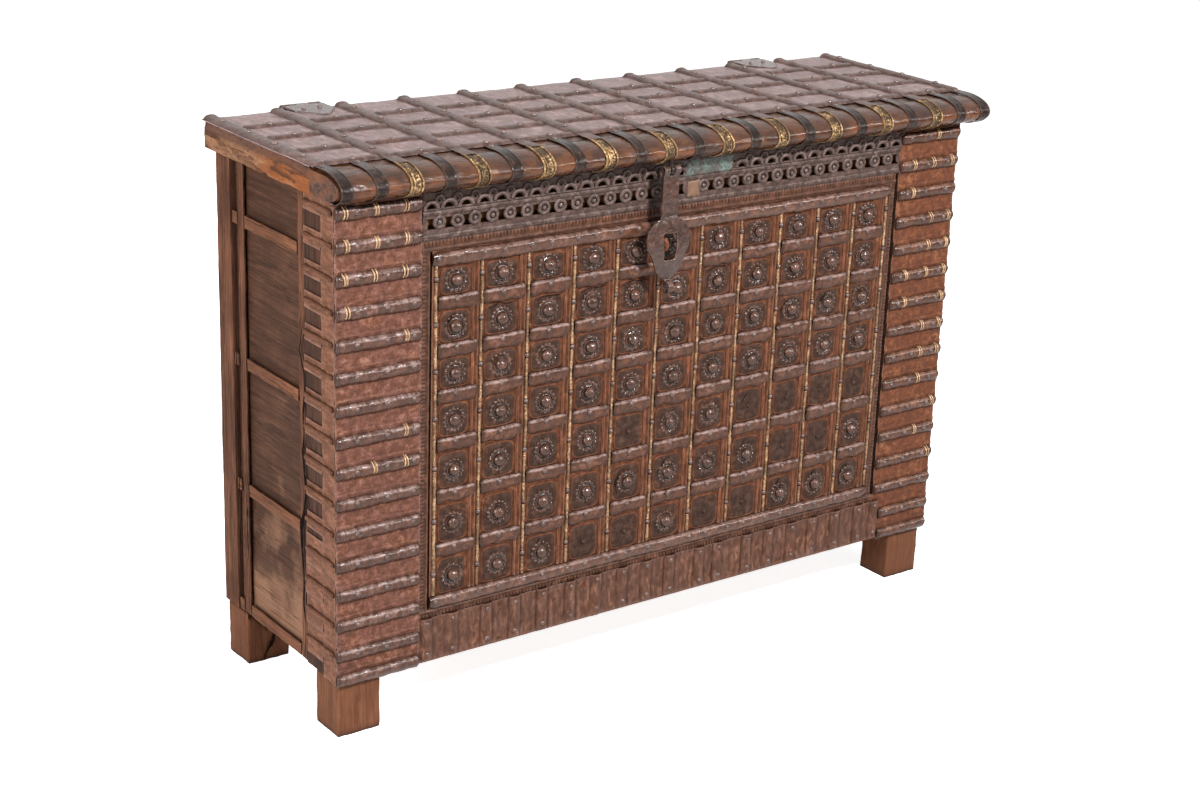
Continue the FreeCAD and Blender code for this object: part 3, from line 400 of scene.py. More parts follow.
flank_iron = forged_iron("flank_iron", (0.072, 0.028, 0.018), (0.195, 0.085, 0.060),
                         (0.240, 0.088, 0.038), (0.34, 0.215, 0.195), 0.55, 0.45, 0.46, pits=0.85,
                         rub=0.35, mottling=0.7, foot=0.118, right_sheen_loss=0.9)
rib_iron = forged_iron("rib_iron", (0.042, 0.017, 0.010), (0.155, 0.062, 0.039),
                       (0.195, 0.070, 0.032), (0.38, 0.255, 0.230), 0.5, 0.3, 0.16, shine=0.34,
                       top_sheen=0.7, shade=0.4, wound=0.6, relief=0.6, right_sheen_loss=0.9)
rusty_iron = forged_iron("rusty_iron", (0.050, 0.017, 0.008), (0.125, 0.045, 0.022),
                         (0.200, 0.066, 0.026), (0.250, 0.125, 0.085), 0.7, 0.25, 0.46, rub=0.6)
ridge_iron = forged_iron("ridge_iron", (0.070, 0.024, 0.012), (0.215, 0.080, 0.040),
                         (0.260, 0.090, 0.038), (0.38, 0.22, 0.16), 0.7, 0.35, 0.42, rub=0.6)
lattice_iron = forged_iron("lattice_iron", (0.040, 0.015, 0.008), (0.125, 0.045, 0.022),
                           (0.175, 0.060, 0.026), (0.40, 0.275, 0.25), 0.6, 0.2, 0.24, shine=0.25,
                           top_sheen=0.9, shade=0.0)
bar_iron = forged_iron("bar_iron", (0.045, 0.017, 0.009), (0.145, 0.054, 0.029),
                       (0.190, 0.066, 0.029), (0.36, 0.235, 0.205), 0.6, 0.25, 0.16, shine=0.4,
                       top_sheen=0.5, shade=0.1, relief=0.6)
plate_iron = forged_iron("plate_iron", (0.022, 0.010, 0.006), (0.066, 0.035, 0.025),
                         (0.120, 0.046, 0.022), (0.16, 0.098, 0.078), 0.45, 0.25, 0.42, rub=0.1)
boss_iron = forged_iron("boss_iron", (0.020, 0.008, 0.004), (0.088, 0.031, 0.015),
                        (0.140, 0.045, 0.018), (0.24, 0.145, 0.115), 0.5, 0.2, 0.10, shine=0.45,
                        top_sheen=0.2, rub=0.25, relief=0.6)
frieze_iron = forged_iron("frieze_iron", (0.026, 0.014, 0.010), (0.116, 0.072, 0.061),
                          (0.130, 0.060, 0.040), (0.26, 0.190, 0.180), 0.3, 0.3, 0.30, shine=0.15,
                          top_sheen=0.3)
frieze_ground = forged_iron("frieze_ground", (0.028, 0.016, 0.011), (0.105, 0.064, 0.053),
                            (0.125, 0.060, 0.038), (0.200, 0.140, 0.128), 0.35, 0.3, 0.40, rub=0.2)
rail_iron = forged_iron("rail_iron", (0.060, 0.021, 0.010), (0.175, 0.064, 0.032),
                        (0.240, 0.082, 0.034), (0.32, 0.180, 0.135), 0.7, 0.3, 0.42, (1, 1, 0.6),
                        rub=0.7)
skirt_iron = forged_iron("skirt_iron", (0.050, 0.020, 0.011), (0.145, 0.066, 0.043),
                         (0.20, 0.074, 0.035), (0.28, 0.180, 0.155), 0.5, 0.4, 0.36, (1.4, 1, 0.6),
                         shine=0.15)
lid_iron = forged_iron("lid_iron", (0.105, 0.060, 0.052), (0.285, 0.195, 0.190),
                       (0.250, 0.135, 0.105), (0.42, 0.315, 0.305), 0.35, 0.55, 0.34, (1, 0.45, 1),
                       0.4, shine=0.3)
strap_iron = forged_iron("strap_iron", (0.032, 0.015, 0.011), (0.115, 0.063, 0.052),
                         (0.135, 0.055, 0.033), (0.26, 0.185, 0.175), 0.5, 0.35, 0.30, (1, 0.6, 1),
                         shine=0.3)
nail_iron = forged_iron("nail_iron", (0.024, 0.012, 0.008), (0.095, 0.050, 0.038),
                        (0.145, 0.058, 0.030), (0.34, 0.240, 0.215), 0.35, 0.35, 0.20, shine=0.4,
                        top_sheen=0.3)
dark_iron = forged_iron("dark_iron", (0.010, 0.006, 0.005), (0.034, 0.020, 0.015),
                        (0.080, 0.034, 0.018), (0.15, 0.100, 0.085), 0.45, 0.35, 0.16, shine=0.16,
                        rub=0.3, relief=0.5)
hasp_iron = forged_iron("hasp_iron", (0.022, 0.009, 0.006), (0.066, 0.029, 0.019),
                        (0.115, 0.040, 0.018), (0.24, 0.150, 0.130), 0.55, 0.35, 0.08, shine=0.5,
                        top_sheen=0.35, rub=0.7, mottling=0.65, pits=0.5, relief=0.8)
print("iron finishes:", len(bpy.data.materials))


# %% Brass, bright where it is rubbed and brown in its creases: tarnish with painted shade
def hammered_brass(name, bright, wear_and_sheen, brown, wear=0.5):
    f = Finish(name)
    patches = f.clouds(24 * mm, 4)
    mottle = f.clouds(5 * mm, 5, twist=0.5)
    fine = f.clouds(1.6 * mm, 3, shift=(2, 0, 4))
    colour = f.mix(f.levels(mottle, 0.40, 0.62), wear_and_sheen, bright)
    lost = f.levels(f.sum("ADD", patches, f.sum("MULTIPLY", mottle, 0.4)), 0.52 + 0.3 * wear,
                    0.66 + 0.3 * wear, 1.0, 0.0)
    colour = f.mix(f.sum("MULTIPLY", lost, 0.85), colour, brown)
    colour = f.mix(f.levels(fine, 0.48, 0.58, 0, 0.85), colour, brown)
    # Brown in creases and deep between pieces: tarnish, with painted shade.
    colour = f.mix(f.sum("MULTIPLY", f.crease_shade(0.50, 0.455), 0.95), colour, brown)
    colour = f.mix(f.sum("MULTIPLY", f.edges(), 0.4), colour, bright)
    colour = f.mix(f.sum("MULTIPLY", f.occlusion_shade(4 * mm), 0.8), colour, brown)
    f.bump(mottle, 0.9 * mm, 0.6)
    f.bump(fine, 0.3 * mm, 0.6)
    return f.done(colour, f.levels(mottle, 0.3, 0.7, 0.26, 0.46), metallic=0.35, specular=0.2)


strip_brass = hammered_brass("strip_brass", (0.56, 0.36, 0.205), (0.31, 0.175, 0.092),
                             (0.080, 0.038, 0.020), 0.40)
band_brass = hammered_brass("band_brass", (0.80, 0.52, 0.25), (0.21, 0.105, 0.042),
                            (0.026, 0.012, 0.006), 0.55)


# %% Old wood, with its grain along one axis
def old_wood(name, dark, body, light, along, gloss=0.6, contrast=1.0, shine=0.1, faded=0.0, splits=0.8,
             gap_shade=0.8):
    """Grain follows the axis named by along, an index from 0 to 2; faded pales the foot."""
    f = Finish(name)
    stretch = [9.0, 9.0, 9.0]
    stretch[along] = 0.55
    finer = [26.0, 26.0, 26.0]
    finer[along] = 0.9
    grain = f.clouds(80 * mm, 5, tuple(stretch), twist=0.9)
    fibre = f.clouds(42 * mm, 4, tuple(finer), shift=(2, 2, 2))
    stain = f.clouds(95 * mm, 4, shift=(4, 1, 0))
    marks = f.clouds(6 * mm, 4, shift=(0, 3, 1))
    colour = f.mix(f.levels(grain, 0.34, 0.62), dark, body)
    colour = f.mix(f.levels(fibre, 0.52, 0.72, 0, 0.55 * contrast), colour, light)
    colour = f.mix(f.levels(stain, 0.42, 0.66, 0.6, 0), colour, dark)
    if faded:
        foot = f.sum("ADD", f.levels(f.along("Z"), 0.14, 0.42, 1.0, 0.0),
                     f.levels(stain, 0.4, 0.7, -0.6, 0.3))
        colour = f.mix(f.levels(foot, 0.1, 0.8, 0, faded), colour, light)
    colour = f.mix(f.levels(marks, 0.60, 0.72, 0, 0.5), colour, dark)
    colour = f.mix(f.sum("MULTIPLY", f.edges(0.53, 0.62), 0.7), colour, light)
    # Creases darkened: painted shade, with dirt.
    colour = f.mix(f.sum("MULTIPLY", f.crease_shade(), 0.7), colour, dark)
    long_way = [7.0, 7.0, 7.0]
    long_way[along] = 0.15
    lines = f.clouds(70 * mm, 2, tuple(long_way), shift=(6, 2, 9), twist=0.3)
    split = f.levels(f.sum("ABSOLUTE", f.sum("SUBTRACT", lines, 0.5), 0.0), 0.004, 0.016, splits, 0.0)
    colour = f.mix(split, colour, dark)
    colour = f.mix(f.sum("MULTIPLY", split, 0.6), colour, (0.012, 0.006, 0.004))
    # Painted shade: near black deep between pieces that stand close together.
    colour = f.mix(f.sum("MULTIPLY", f.occlusion_shade(14 * mm), gap_shade), colour, (0.015, 0.007, 0.005))
    f.bump(grain, 1.4 * mm, 0.8)
    f.bump(fibre, 0.6 * mm, 0.8)
    f.bump(f.sum("MULTIPLY", split, -1.0), 1.5 * mm, 0.8)
    return f.done(colour, f.levels(fibre, 0.3, 0.7, gloss - 0.1, gloss + 0.15), specular=shine)


leg_wood = old_wood("leg_wood", (0.110, 0.041, 0.020), (0.190, 0.075, 0.037), (0.26, 0.124, 0.068),
                    2, splits=0.3)
shade_wood = old_wood("shade_wood", (0.028, 0.012, 0.008), (0.078, 0.034, 0.020),
                      (0.16, 0.080, 0.048), 2)
post_wood = old_wood("post_wood", (0.050, 0.019, 0.010), (0.180, 0.071, 0.037),
                     (0.31, 0.160, 0.100), 2)
panel_wood = old_wood("panel_wood", (0.034, 0.014, 0.008), (0.100, 0.043, 0.024),
                      (0.25, 0.130, 0.078), 1, contrast=0.7, faded=0.8, splits=0.4)
rail_wood = old_wood("rail_wood", (0.085, 0.033, 0.017), (0.230, 0.091, 0.046),
                     (0.33, 0.160, 0.090), 1)
board_wood = old_wood("board_wood", (0.070, 0.033, 0.020), (0.150, 0.077, 0.047),
                      (0.24, 0.145, 0.095), 0, splits=0.35)
# Painted light: the ochre board gets a brighter colour than its wood, as it lies deep behind the frieze
# where little light falls; its painted shade between pieces is kept low.
ochre_wood_brightened = old_wood("ochre_wood_brightened", (0.200, 0.090, 0.028), (0.460, 0.215, 0.070),
                      (0.52, 0.29, 0.12), 0, splits=0.3, gap_shade=0.15)

# %% More finishes: notched bands, wraps, painted shadow, green metal
notch_iron = forged_iron("notch_iron", (0.036, 0.014, 0.008), (0.120, 0.050, 0.029),
                         (0.18, 0.064, 0.028), (0.27, 0.155, 0.120), 0.5, 0.3, 0.36, shine=0.12,
                         rub=0.4)
wrap_iron = forged_iron("wrap_iron", (0.085, 0.036, 0.021), (0.215, 0.096, 0.058),
                        (0.240, 0.095, 0.046), (0.31, 0.190, 0.155), 0.5, 0.35, 0.50, (1, 0.6, 1.6))
ring_brass = hammered_brass("ring_brass", (0.68, 0.45, 0.26), (0.42, 0.25, 0.135),
                            (0.13, 0.066, 0.040), 0.1)


def shadow_fill(name):
    """Painted shadow: almost black, with a little dust, for the insides of grooves, tears and gaps."""
    f = Finish(name)
    dust = f.clouds(8 * mm, 4)
    colour = f.mix(f.levels(dust, 0.5, 0.75), (0.010, 0.006, 0.005), (0.045, 0.024, 0.016))
    f.bump(dust, 0.6 * mm, 0.5)
    return f.done(colour, f.levels(dust, 0.3, 0.7, 0.7, 0.9), specular=0.0)


def rubbed_beam(name):
    """Dark wood polished by hands: orange where it is thin, black in its wrinkles."""
    f = Finish(name)
    patches = f.clouds(55 * mm, 5, (0.7, 1, 1), twist=0.6)
    wrinkles = f.clouds(15 * mm, 6, (0.4, 1, 1), shift=(2, 4, 1), twist=1.2)
    fine = f.clouds(4 * mm, 4, shift=(0, 2, 7))
    colour = f.mix(f.levels(patches, 0.40, 0.62), (0.052, 0.018, 0.008), (0.165, 0.052, 0.015))
    colour = f.mix(f.levels(wrinkles, 0.52, 0.38, 0, 0.75), colour, (0.022, 0.009, 0.005))
    colour = f.mix(f.levels(wrinkles, 0.58, 0.70, 0, 0.35), colour, (0.240, 0.105, 0.048))
    # Painted reflection: faces turned up are painted darker, as the dark reflection on the glossy top.
    top_reflection = f.sum("ADD", f.facing("Z"), f.levels(patches, 0.3, 0.7, -0.35, 0.35))
    colour = f.mix(f.levels(top_reflection, 0.25, 0.75, 0, 0.5), colour, (0.046, 0.020, 0.012))
    colour = f.mix(f.levels(fine, 0.58, 0.70, 0, 0.5), colour, (0.030, 0.012, 0.006))
    # Creases darkened: painted shade, with dirt.
    colour = f.mix(f.sum("MULTIPLY", f.crease_shade(), 0.8), colour, (0.015, 0.007, 0.004))
    f.bump(wrinkles, 1.8 * mm, 0.8)
    f.bump(fine, 0.25 * mm, 0.6)
    return f.done(colour, f.levels(wrinkles, 0.35, 0.65, 0.22, 0.09), specular=0.35)


def green_metal(name):
    """Grey-brown sheet with green bloom."""
    f = Finish(name)
    patches = f.clouds(14 * mm, 5, twist=0.6)
    mottle = f.clouds(4 * mm, 4)
    colour = f.mix(f.levels(patches, 0.47, 0.56), (0.050, 0.038, 0.033), (0.080, 0.120, 0.100))
    colour = f.mix(f.levels(mottle, 0.52, 0.72, 0, 0.6), colour, (0.14, 0.21, 0.175))
    colour = f.mix(f.levels(mottle, 0.48, 0.38, 0, 0.85), colour, (0.045, 0.028, 0.022))
    lower = f.levels(f.along("Z"), 0.808, 0.804)
    rusted = f.sum("MULTIPLY", lower, f.levels(mottle, 0.3, 0.6, 0.5, 1.0))
    colour = f.mix(rusted, colour, (0.165, 0.075, 0.038))
    f.bump(mottle, 0.9 * mm, 0.8)
    return f.done(colour, f.levels(mottle, 0.3, 0.7, 0.45, 0.7))


def weathered_end(name):
    """Bare wood of the clamp: orange-brown, with dark smears, pale breaks and layers."""
    f = Finish(name)
    patches = f.clouds(48 * mm, 5, (1, 0.4, 1.6), twist=0.8)
    smears = f.clouds(20 * mm, 6, (1, 0.3, 1.9), shift=(5, 1, 3), twist=0.8)
    fine = f.clouds(5 * mm, 5, (1, 0.5, 1.3), shift=(0, 2, 7))
    colour = f.mix(f.levels(patches, 0.40, 0.60), (0.115, 0.052, 0.028), (0.235, 0.115, 0.060))
    bare = f.levels(f.sum("ADD", f.along("Y"), f.sum("MULTIPLY", smears, 0.12)), 0.11, 0.04, 0, 0.8)
    colour = f.mix(bare, colour, (0.235, 0.068, 0.018))
    colour = f.mix(f.levels(smears, 0.50, 0.40, 0, 0.85), colour, (0.050, 0.022, 0.012))
    colour = f.mix(f.levels(smears, 0.58, 0.68, 0, 0.6), colour, (0.33, 0.190, 0.110))
    upper = f.levels(f.sum("ADD", f.along("Z"), f.sum("MULTIPLY", patches, 0.03)), 0.882, 0.892, 0, 0.8)
    colour = f.mix(upper, colour, (0.090, 0.044, 0.032))
    colour = f.mix(f.levels(fine, 0.56, 0.68, 0, 0.7), colour, (0.040, 0.018, 0.010))
    # Creases darkened: painted shade, with dirt.
    colour = f.mix(f.sum("MULTIPLY", f.crease_shade(), 0.8), colour, (0.030, 0.014, 0.008))
    f.bump(smears, 2.0 * mm, 0.8)
    f.bump(fine, 0.8 * mm, 0.8)
    return f.done(colour, f.levels(fine, 0.3, 0.7, 0.5, 0.75), specular=0.1)


shadow_black = shadow_fill("shadow_black")
clamp_wood = weathered_end("clamp_wood")
nosing_wood = rubbed_beam("nosing_wood")
patina = green_metal("patina")
print("finishes:", [m.name for m in bpy.data.materials])

# %% [markdown]
# ## Putting a finished piece in place
# A piece is done when it has a finish, a body to move with and the solids it
# stands for. One call does all of it, so that none is forgotten.

# %% Finish, body and solids of a piece
def settle(thing, finish, body, slot, *nodes):
    thing.data.materials.clear()
    thing.data.materials.append(finish)
    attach(thing, body)
    if nodes:
        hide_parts(*nodes)
    print(thing.name, len(thing.data.polygons), "faces")
    return thing


def keep_within(thing, low, high):
    """Bring back any point that left the box of the real piece."""
    for vert in thing.data.vertices:
        for i in range(3):
            vert.co[i] = min(max(vert.co[i], low[i]), high[i])
    return thing


# %% [markdown]
# ## The wooden carcass
# Legs, posts, stiles, rails and panels are old, dry, hand-sawn wood. Each starts
# as a cube of the solid's size. Its edges are bevelled, plane cuts divide it, and
# the hammering helper gives it the hollows of long use.

# %% A worn block
def cut_across(thing, axis, step):
    """Divide a mesh by plane cuts at even steps along one axis."""
    choose(thing)
    low = min(v.co[axis] for v in thing.data.vertices)
    high = max(v.co[axis] for v in thing.data.vertices)
    count = int((high - low) / step)
    normal = [0, 0, 0]
    normal[axis] = 1
    bpy.ops.object.mode_set(mode="EDIT")
    for i in range(1, count):
        at = [0, 0, 0]
        at[axis] = low + (high - low) * i / count
        bpy.ops.mesh.select_all(action="SELECT")
        bpy.ops.mesh.bisect(plane_co=at, plane_no=normal)
    bpy.ops.object.mode_set(mode="OBJECT")


def worn_block(name, low, high, bevel=2 * mm, step=16 * mm, depth=1.6 * mm, size=30 * mm, fine=0.5 * mm):
    clear_selection()
    bpy.ops.mesh.primitive_cube_add(size=1, location=(low + high) / 2, scale=high - low)
    block = bpy.context.object
    block.name = name
    bpy.ops.object.transform_apply(location=True, rotation=True, scale=True)
    bpy.ops.object.mode_set(mode="EDIT")
    bpy.ops.mesh.bevel(offset=bevel, segments=2, affect="EDGES")
    bpy.ops.object.mode_set(mode="OBJECT")
    for axis in range(3):
        if high[axis] - low[axis] > 2 * step:
            cut_across(block, axis, step)
    hammer(block, depth, size)
    hammer(block, fine, 6 * mm)
    keep_within(block, low, high)
    return smooth(block, 50)


def worn_blocks(name, node, **habits):
    """One piece of worn blocks for all the solids of a node."""
    blocks = [worn_block(f"{name}_{i}", low, high, **habits)
              for i, (low, high) in enumerate(solids_of(node))]
    return join(name, blocks)


for end in ("left", "right"):
    settle(worn_blocks("post_front_worn_" + end, "post_front_" + end, step=14 * mm), shade_wood,
           "carcass", "wood_carcass", "post_front_" + end)
    settle(worn_blocks("post_rear_worn_" + end, "post_rear_" + end, step=12 * mm), post_wood,
           "carcass", "wood_carcass", "post_rear_" + end)
    settle(worn_blocks("panel_worn_" + end, "end_panel_" + end, step=12 * mm, depth=1.2 * mm),
           panel_wood, "carcass", "wood_carcass", "end_panel_" + end)

heavy_wear = {"step": 6 * mm, "bevel": 3 * mm, "depth": 3 * mm, "fine": 1 * mm}
settle(worn_blocks("end_stiles_worn", "end_stiles", **heavy_wear), post_wood,
       "carcass", "wood_carcass", "end_stiles")
settle(worn_blocks("end_rails_worn", "end_rails", **heavy_wear), rail_wood,
       "carcass", "wood_rails", "end_rails")
settle(worn_blocks("rear_planks", "rear_boards", step=24 * mm, depth=1.5 * mm), board_wood,
       "carcass", "wood_carcass", "rear_boards")

# %% [markdown]
# ## Legs
# The legs are thick blocks whose corners are rubbed round. A voxel remesh turns
# each block into an even skin first, so that a smoothing pass rounds the corners
# more than the faces, as wear does.

# %% Legs with rubbed corners, one of them split
def break_away(thing, low, high):
    """Push back the upper inner part of a leg's front behind a slanting line."""
    for vert in thing.data.vertices:
        share = (vert.co.x - low.x) / (high.x - low.x)
        rise = (vert.co.z - low.z) / (high.z - low.z)
        past = rise - 0.95 + 0.75 * share + 0.08 * rough(vert.co, 9 * mm, 5)
        front = min(1.0, max(0.0, 1 - (vert.co.y - low.y) / (24 * mm)))
        if past > 0:
            vert.co.y += front * (min(13 * mm, 90 * mm * past) + 2.5 * mm * rough(vert.co, 6 * mm, 2))


def leg(name, node):
    low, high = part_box(node)
    clear_selection()
    bpy.ops.mesh.primitive_cube_add(size=1, location=(low + high) / 2, scale=high - low)
    block = bpy.context.object
    block.name = name
    bpy.ops.object.transform_apply(location=True, rotation=True, scale=True)
    skin = block.modifiers.new("skin", "REMESH")
    skin.mode = "VOXEL"
    skin.voxel_size = 3.2 * mm
    wear = block.modifiers.new("wear", "SMOOTH")
    wear.iterations = 6
    wear.factor = 0.5
    apply_all(block)
    hammer(block, 2.4 * mm, 26 * mm)
    hammer(block, 0.8 * mm, 7 * mm)
    for vert in block.data.vertices:
        if vert.co.z < 4 * mm:
            vert.co.z = max(low.z, vert.co.z - 1.5 * mm)
    if node == "leg_rear_left":
        break_away(block, low, high)
    keep_within(block, low, high)
    return smooth(block, 60)


for place in ("front_left", "front_right", "rear_left", "rear_right"):
    settle(leg("leg_worn_" + place, "leg_" + place), leg_wood,
           "carcass", "wood_carcass", "leg_" + place)

# %% [markdown]
# ## Boards that stay as they are
# The front boards hide behind iron, and the floor is seen only when the lid is
# open. Their solids are right already, so they only get their finish.

# %% Finishes for the carried-over boards
def dress(node, finish):
    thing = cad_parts[node]
    thing.data.materials.clear()
    thing.data.materials.append(finish)


for node in ("front_boards", "floor_boards", "lid_boards"):
    dress(node, board_wood)
dress("frieze_board", ochre_wood_brightened)

# %% [markdown]
# ## Nails
# Hundreds of forged nail heads hold the iron. One head is the cap of a small
# sphere of a few dozen faces, cut off below. Each copy is stretched to its
# solid's box and turned a little, so that no two catch the light alike.

# %% One nail head and its copies
clear_selection()
bpy.ops.mesh.primitive_uv_sphere_add(segments=10, ring_count=8, radius=1)
nail_head = bpy.context.object
bpy.ops.object.mode_set(mode="EDIT")
bpy.ops.mesh.select_all(action="SELECT")
bpy.ops.mesh.bisect(plane_co=(0, 0, 0.01), plane_no=(0, 0, 1), clear_inner=True, use_fill=True)
bpy.ops.object.mode_set(mode="OBJECT")
for vert in nail_head.data.vertices:
    if vert.co.z < 0.05:
        vert.co.z = -0.25


def nails(name, node, outward, sink=0.0):
    """Nail heads for each solid of a node, all pointing outward along one axis."""
    turn = UP.rotation_difference(outward).to_matrix().to_4x4()
    axis = max(range(3), key=lambda i: abs(outward[i]))
    heads = []
    for low, high in solids_of(node):
        size = high - low
        height = size[axis]
        radius = (sum(size) - height) / 4
        base = (low + high) / 2 - outward * (height / 2 + sink)
        head = copy_of(nail_head)
        grow = random.uniform(0.92, 1.05)
        spin = Matrix.Rotation(random.uniform(0, full_turn), 4, "Z")
        shape = Matrix.Diagonal((radius * grow, radius * grow, height * random.uniform(0.85, 1.0), 1))
        head.data.transform(Matrix.Translation(base) @ turn @ spin @ shape)
        heads.append(head)
    whole = join(name, heads)
    return smooth(whole, 60)


settle(nails("flank_nail_heads", "flank_nails", FRONT), nail_iron,
       "carcass", "iron_brown", "flank_nails")
settle(nails("lattice_nail_heads", "lattice_nails", FRONT), nail_iron, "carcass", "iron_brown",
       "lattice_nails")
settle(nails("frieze_stud_heads", "frieze_studs", FRONT), nail_iron, "carcass", "iron_dark",
       "frieze_studs")
settle(nails("skirt_stud_heads", "skirt_studs", FRONT), nail_iron, "carcass", "iron_brown",
       "skirt_studs")
settle(nails("lid_nail_heads", "lid_nails", UP), nail_iron, "lid", "iron_lid", "lid_nails")
settle(nails("hinge_nail_heads", "hinge_body_nails", BACK), nail_iron, "carcass", "iron_dark",
       "hinge_body_nails")

# %% [markdown]
# ## Ribs
# A rib is a strip of iron beaten over a rod into a half round. It is a cylinder,
# cut in half by one plane, with many rings along it so that it can be dented.
# Each rib is a copy that fits its own solid, pinched and swollen by noise.

# %% One rib and its copies
def rib_blank(rings):
    """Half cylinder of unit radius and unit length along X, with its flat side at the back."""
    clear_selection()
    bpy.ops.mesh.primitive_cylinder_add(vertices=20, radius=1, depth=1, rotation=(0, math.pi / 2, 0))
    bar = bpy.context.object
    bpy.ops.object.transform_apply(location=False, rotation=True, scale=False)
    bpy.ops.object.mode_set(mode="EDIT")
    bpy.ops.mesh.select_all(action="SELECT")
    bpy.ops.mesh.bisect(plane_co=(0, 0, 0), plane_no=(0, 1, 0), clear_outer=True, use_fill=True)
    mesh = bmesh.from_edit_mesh(bar.data)
    for face in mesh.faces:
        face.select_set(False)
    for edge in mesh.edges:
        edge.select_set(abs(edge.verts[0].co.x - edge.verts[1].co.x) > 0.5)
    bmesh.update_edit_mesh(bar.data)
    bpy.ops.mesh.subdivide(number_cuts=rings)
    bpy.ops.object.mode_set(mode="OBJECT")
    return bar


def ribs(name, node, rings, along=RIGHT, outward=FRONT, swell=0.06, dent=0.8 * mm, reach=(0.0, 0.0),
         flange=1.0):
    """Copies of a rib blank, fitted to each solid; reach draws out its two ends, flange its foot."""
    blank = rib_blank(rings)
    cross = along.cross(outward)
    made = []
    for low, high in solids_of(node):
        size = high - low
        centre = (low + high) / 2
        length = abs(size.dot(along)) + sum(reach)
        radius = abs(size.dot(outward))
        side = outward if outward.dot(centre) > 0 or abs(outward.x) < 0.5 else -outward
        foot = centre - side * (radius / 2) + along * ((reach[1] - reach[0]) / 2)
        bar = copy_of(blank)
        turned_end = 0.35 * radius
        for vert in bar.data.vertices:
            from_end = (0.5 - abs(vert.co.x)) * length
            shrink = 1.0
            if from_end < turned_end:
                shrink = 0.70 + 0.30 * math.sqrt(max(0, 1 - (1 - from_end / turned_end) ** 2))
            at = along * (vert.co.x * length)
            grow = shrink * (1 + swell * (rough(foot + at, 14 * mm) - 0.6))
            bend = cross * (0.7 * mm * rough(foot + at, 30 * mm, 4))
            fall = 1.0
            if (cross * vert.co.z).z < 0:
                fall += (flange - 1.0) * abs(vert.co.z) ** 3
            vert.co = (foot + at + bend - side * (vert.co.y * radius * grow)
                       + cross * (vert.co.z * radius * grow * fall))
        if along.cross(cross).dot(side) > 0:
            bar.data.flip_normals()
        made.append(bar)
    discard(blank)
    whole = join(name, made)
    hammer(whole, dent, 9 * mm, 0.8)
    return smooth(whole, 50)


settle(ribs("flank_ribs_forged", "flank_ribs", 50, swell=0.09, dent=0.9 * mm,
            reach=(3 * mm, 3 * mm), flange=1.5), rib_iron,
       "carcass", "iron_brown", "flank_ribs")
settle(ribs("cross_ribs_forged", "cross_ribs", 26, swell=0.22, dent=1.5 * mm,
            reach=(2 * mm, 12 * mm), flange=2.9), lattice_iron,
       "carcass", "iron_brown", "cross_ribs")
settle(ribs("frame_bars_forged", "lattice_frame_bars", 220, swell=0.12, dent=1.2 * mm,
            flange=2.0), bar_iron, "carcass", "iron_brown", "lattice_frame_bars")

# %% [markdown]
# ## Sheet iron on the front
# The front is sheathed in thin iron that was beaten flat by hand, so it waves a
# little. On the flanks each rib was nailed through a strip of its own, and the
# upper edge of that strip stands up as a thin line above the rib. Each sheet is
# one raised grid, fine enough to hold those lines.

# %% Sheets of the flanks, the bands and the lattice ground
notch_low, notch_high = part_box("notched_bands")
left_notch_width = 14 * mm
right_notch_width = 12 * mm
foot_notch_height = 13 * mm
lattice_foot = notch_low.z + foot_notch_height
lattice_head = max(box[0].z for box in solids_of("notched_bands"))
left_notch_edge = notch_low.x + left_notch_width
groove_width = 4 * mm
frieze_low, frieze_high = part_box("frieze_openwork")
flank_edge_left = notch_low.x
flank_edge_right = frieze_high.x + 1 * mm


def front_box(left, right, foot, head):
    return Vector((left, face_y, foot)), Vector((right, sheet_high.y, head))


flank_left_box = front_box(body_left, flank_edge_left, leg_top, body_top)
flank_right_box = front_box(flank_edge_right, body_right, leg_top, body_top)
skirt_box = front_box(flank_edge_left, flank_edge_right, leg_top, lattice_foot)
left_band_box = front_box(flank_edge_left, left_notch_edge, lattice_foot, lattice_head)
top_band_box = front_box(flank_edge_left, notch_high.x, lattice_head, frieze_low.z)
ground_box = front_box(left_notch_edge + groove_width, notch_high.x, lattice_foot, lattice_head)
rib_heights = sorted({round(middle(box).z, 4) for box in solids_of("flank_ribs")})
edge_rise = 13.5 * mm


def sheet_on(name, box, step_x, step_z, height):
    """Raised sheet over one box of the front."""
    low, high = box
    columns = max(4, int((high.x - low.x) / step_x))
    rows = max(4, int((high.z - low.z) / step_z))
    return raised_sheet(name, low.copy(), RIGHT * (high.x - low.x), UP * (high.z - low.z), FRONT,
                        columns, rows, height)


def flank_relief(box):
    low, high = box

    def height(u, v):
        x = low.x + u * (high.x - low.x)
        z = low.z + v * (high.z - low.z)
        line = edge_rise + 1.6 * mm * rough((x, 0, z), 22 * mm, 5)
        under = [z - rib for rib in rib_heights if rib + line - 40 * mm < z]
        past = min((abs(gap - line), gap - line) for gap in under or [1.0])[1]
        edge = 1.7 * mm * math.exp(-(past / (1.3 * mm)) ** 2)
        lap = 1.3 * mm if past < 0 else 0.0
        wave = 1.3 * mm * rough((x, 1, z), 34 * mm) + 1.0 * mm * rough((x, 2, z), 9 * mm, 2)
        return edge + lap * min(1.0, -past / (2 * mm)) + wave + 0.4 * mm

    return height


def ground_relief(u, v):
    x = ground_box[0].x + u * (ground_box[1].x - ground_box[0].x)
    z = ground_box[0].z + v * (ground_box[1].z - ground_box[0].z)
    return 0.5 * mm * rough((x, 0, z), 20 * mm) + 0.35 * mm * rough((x, 4, z), 7 * mm, 2)


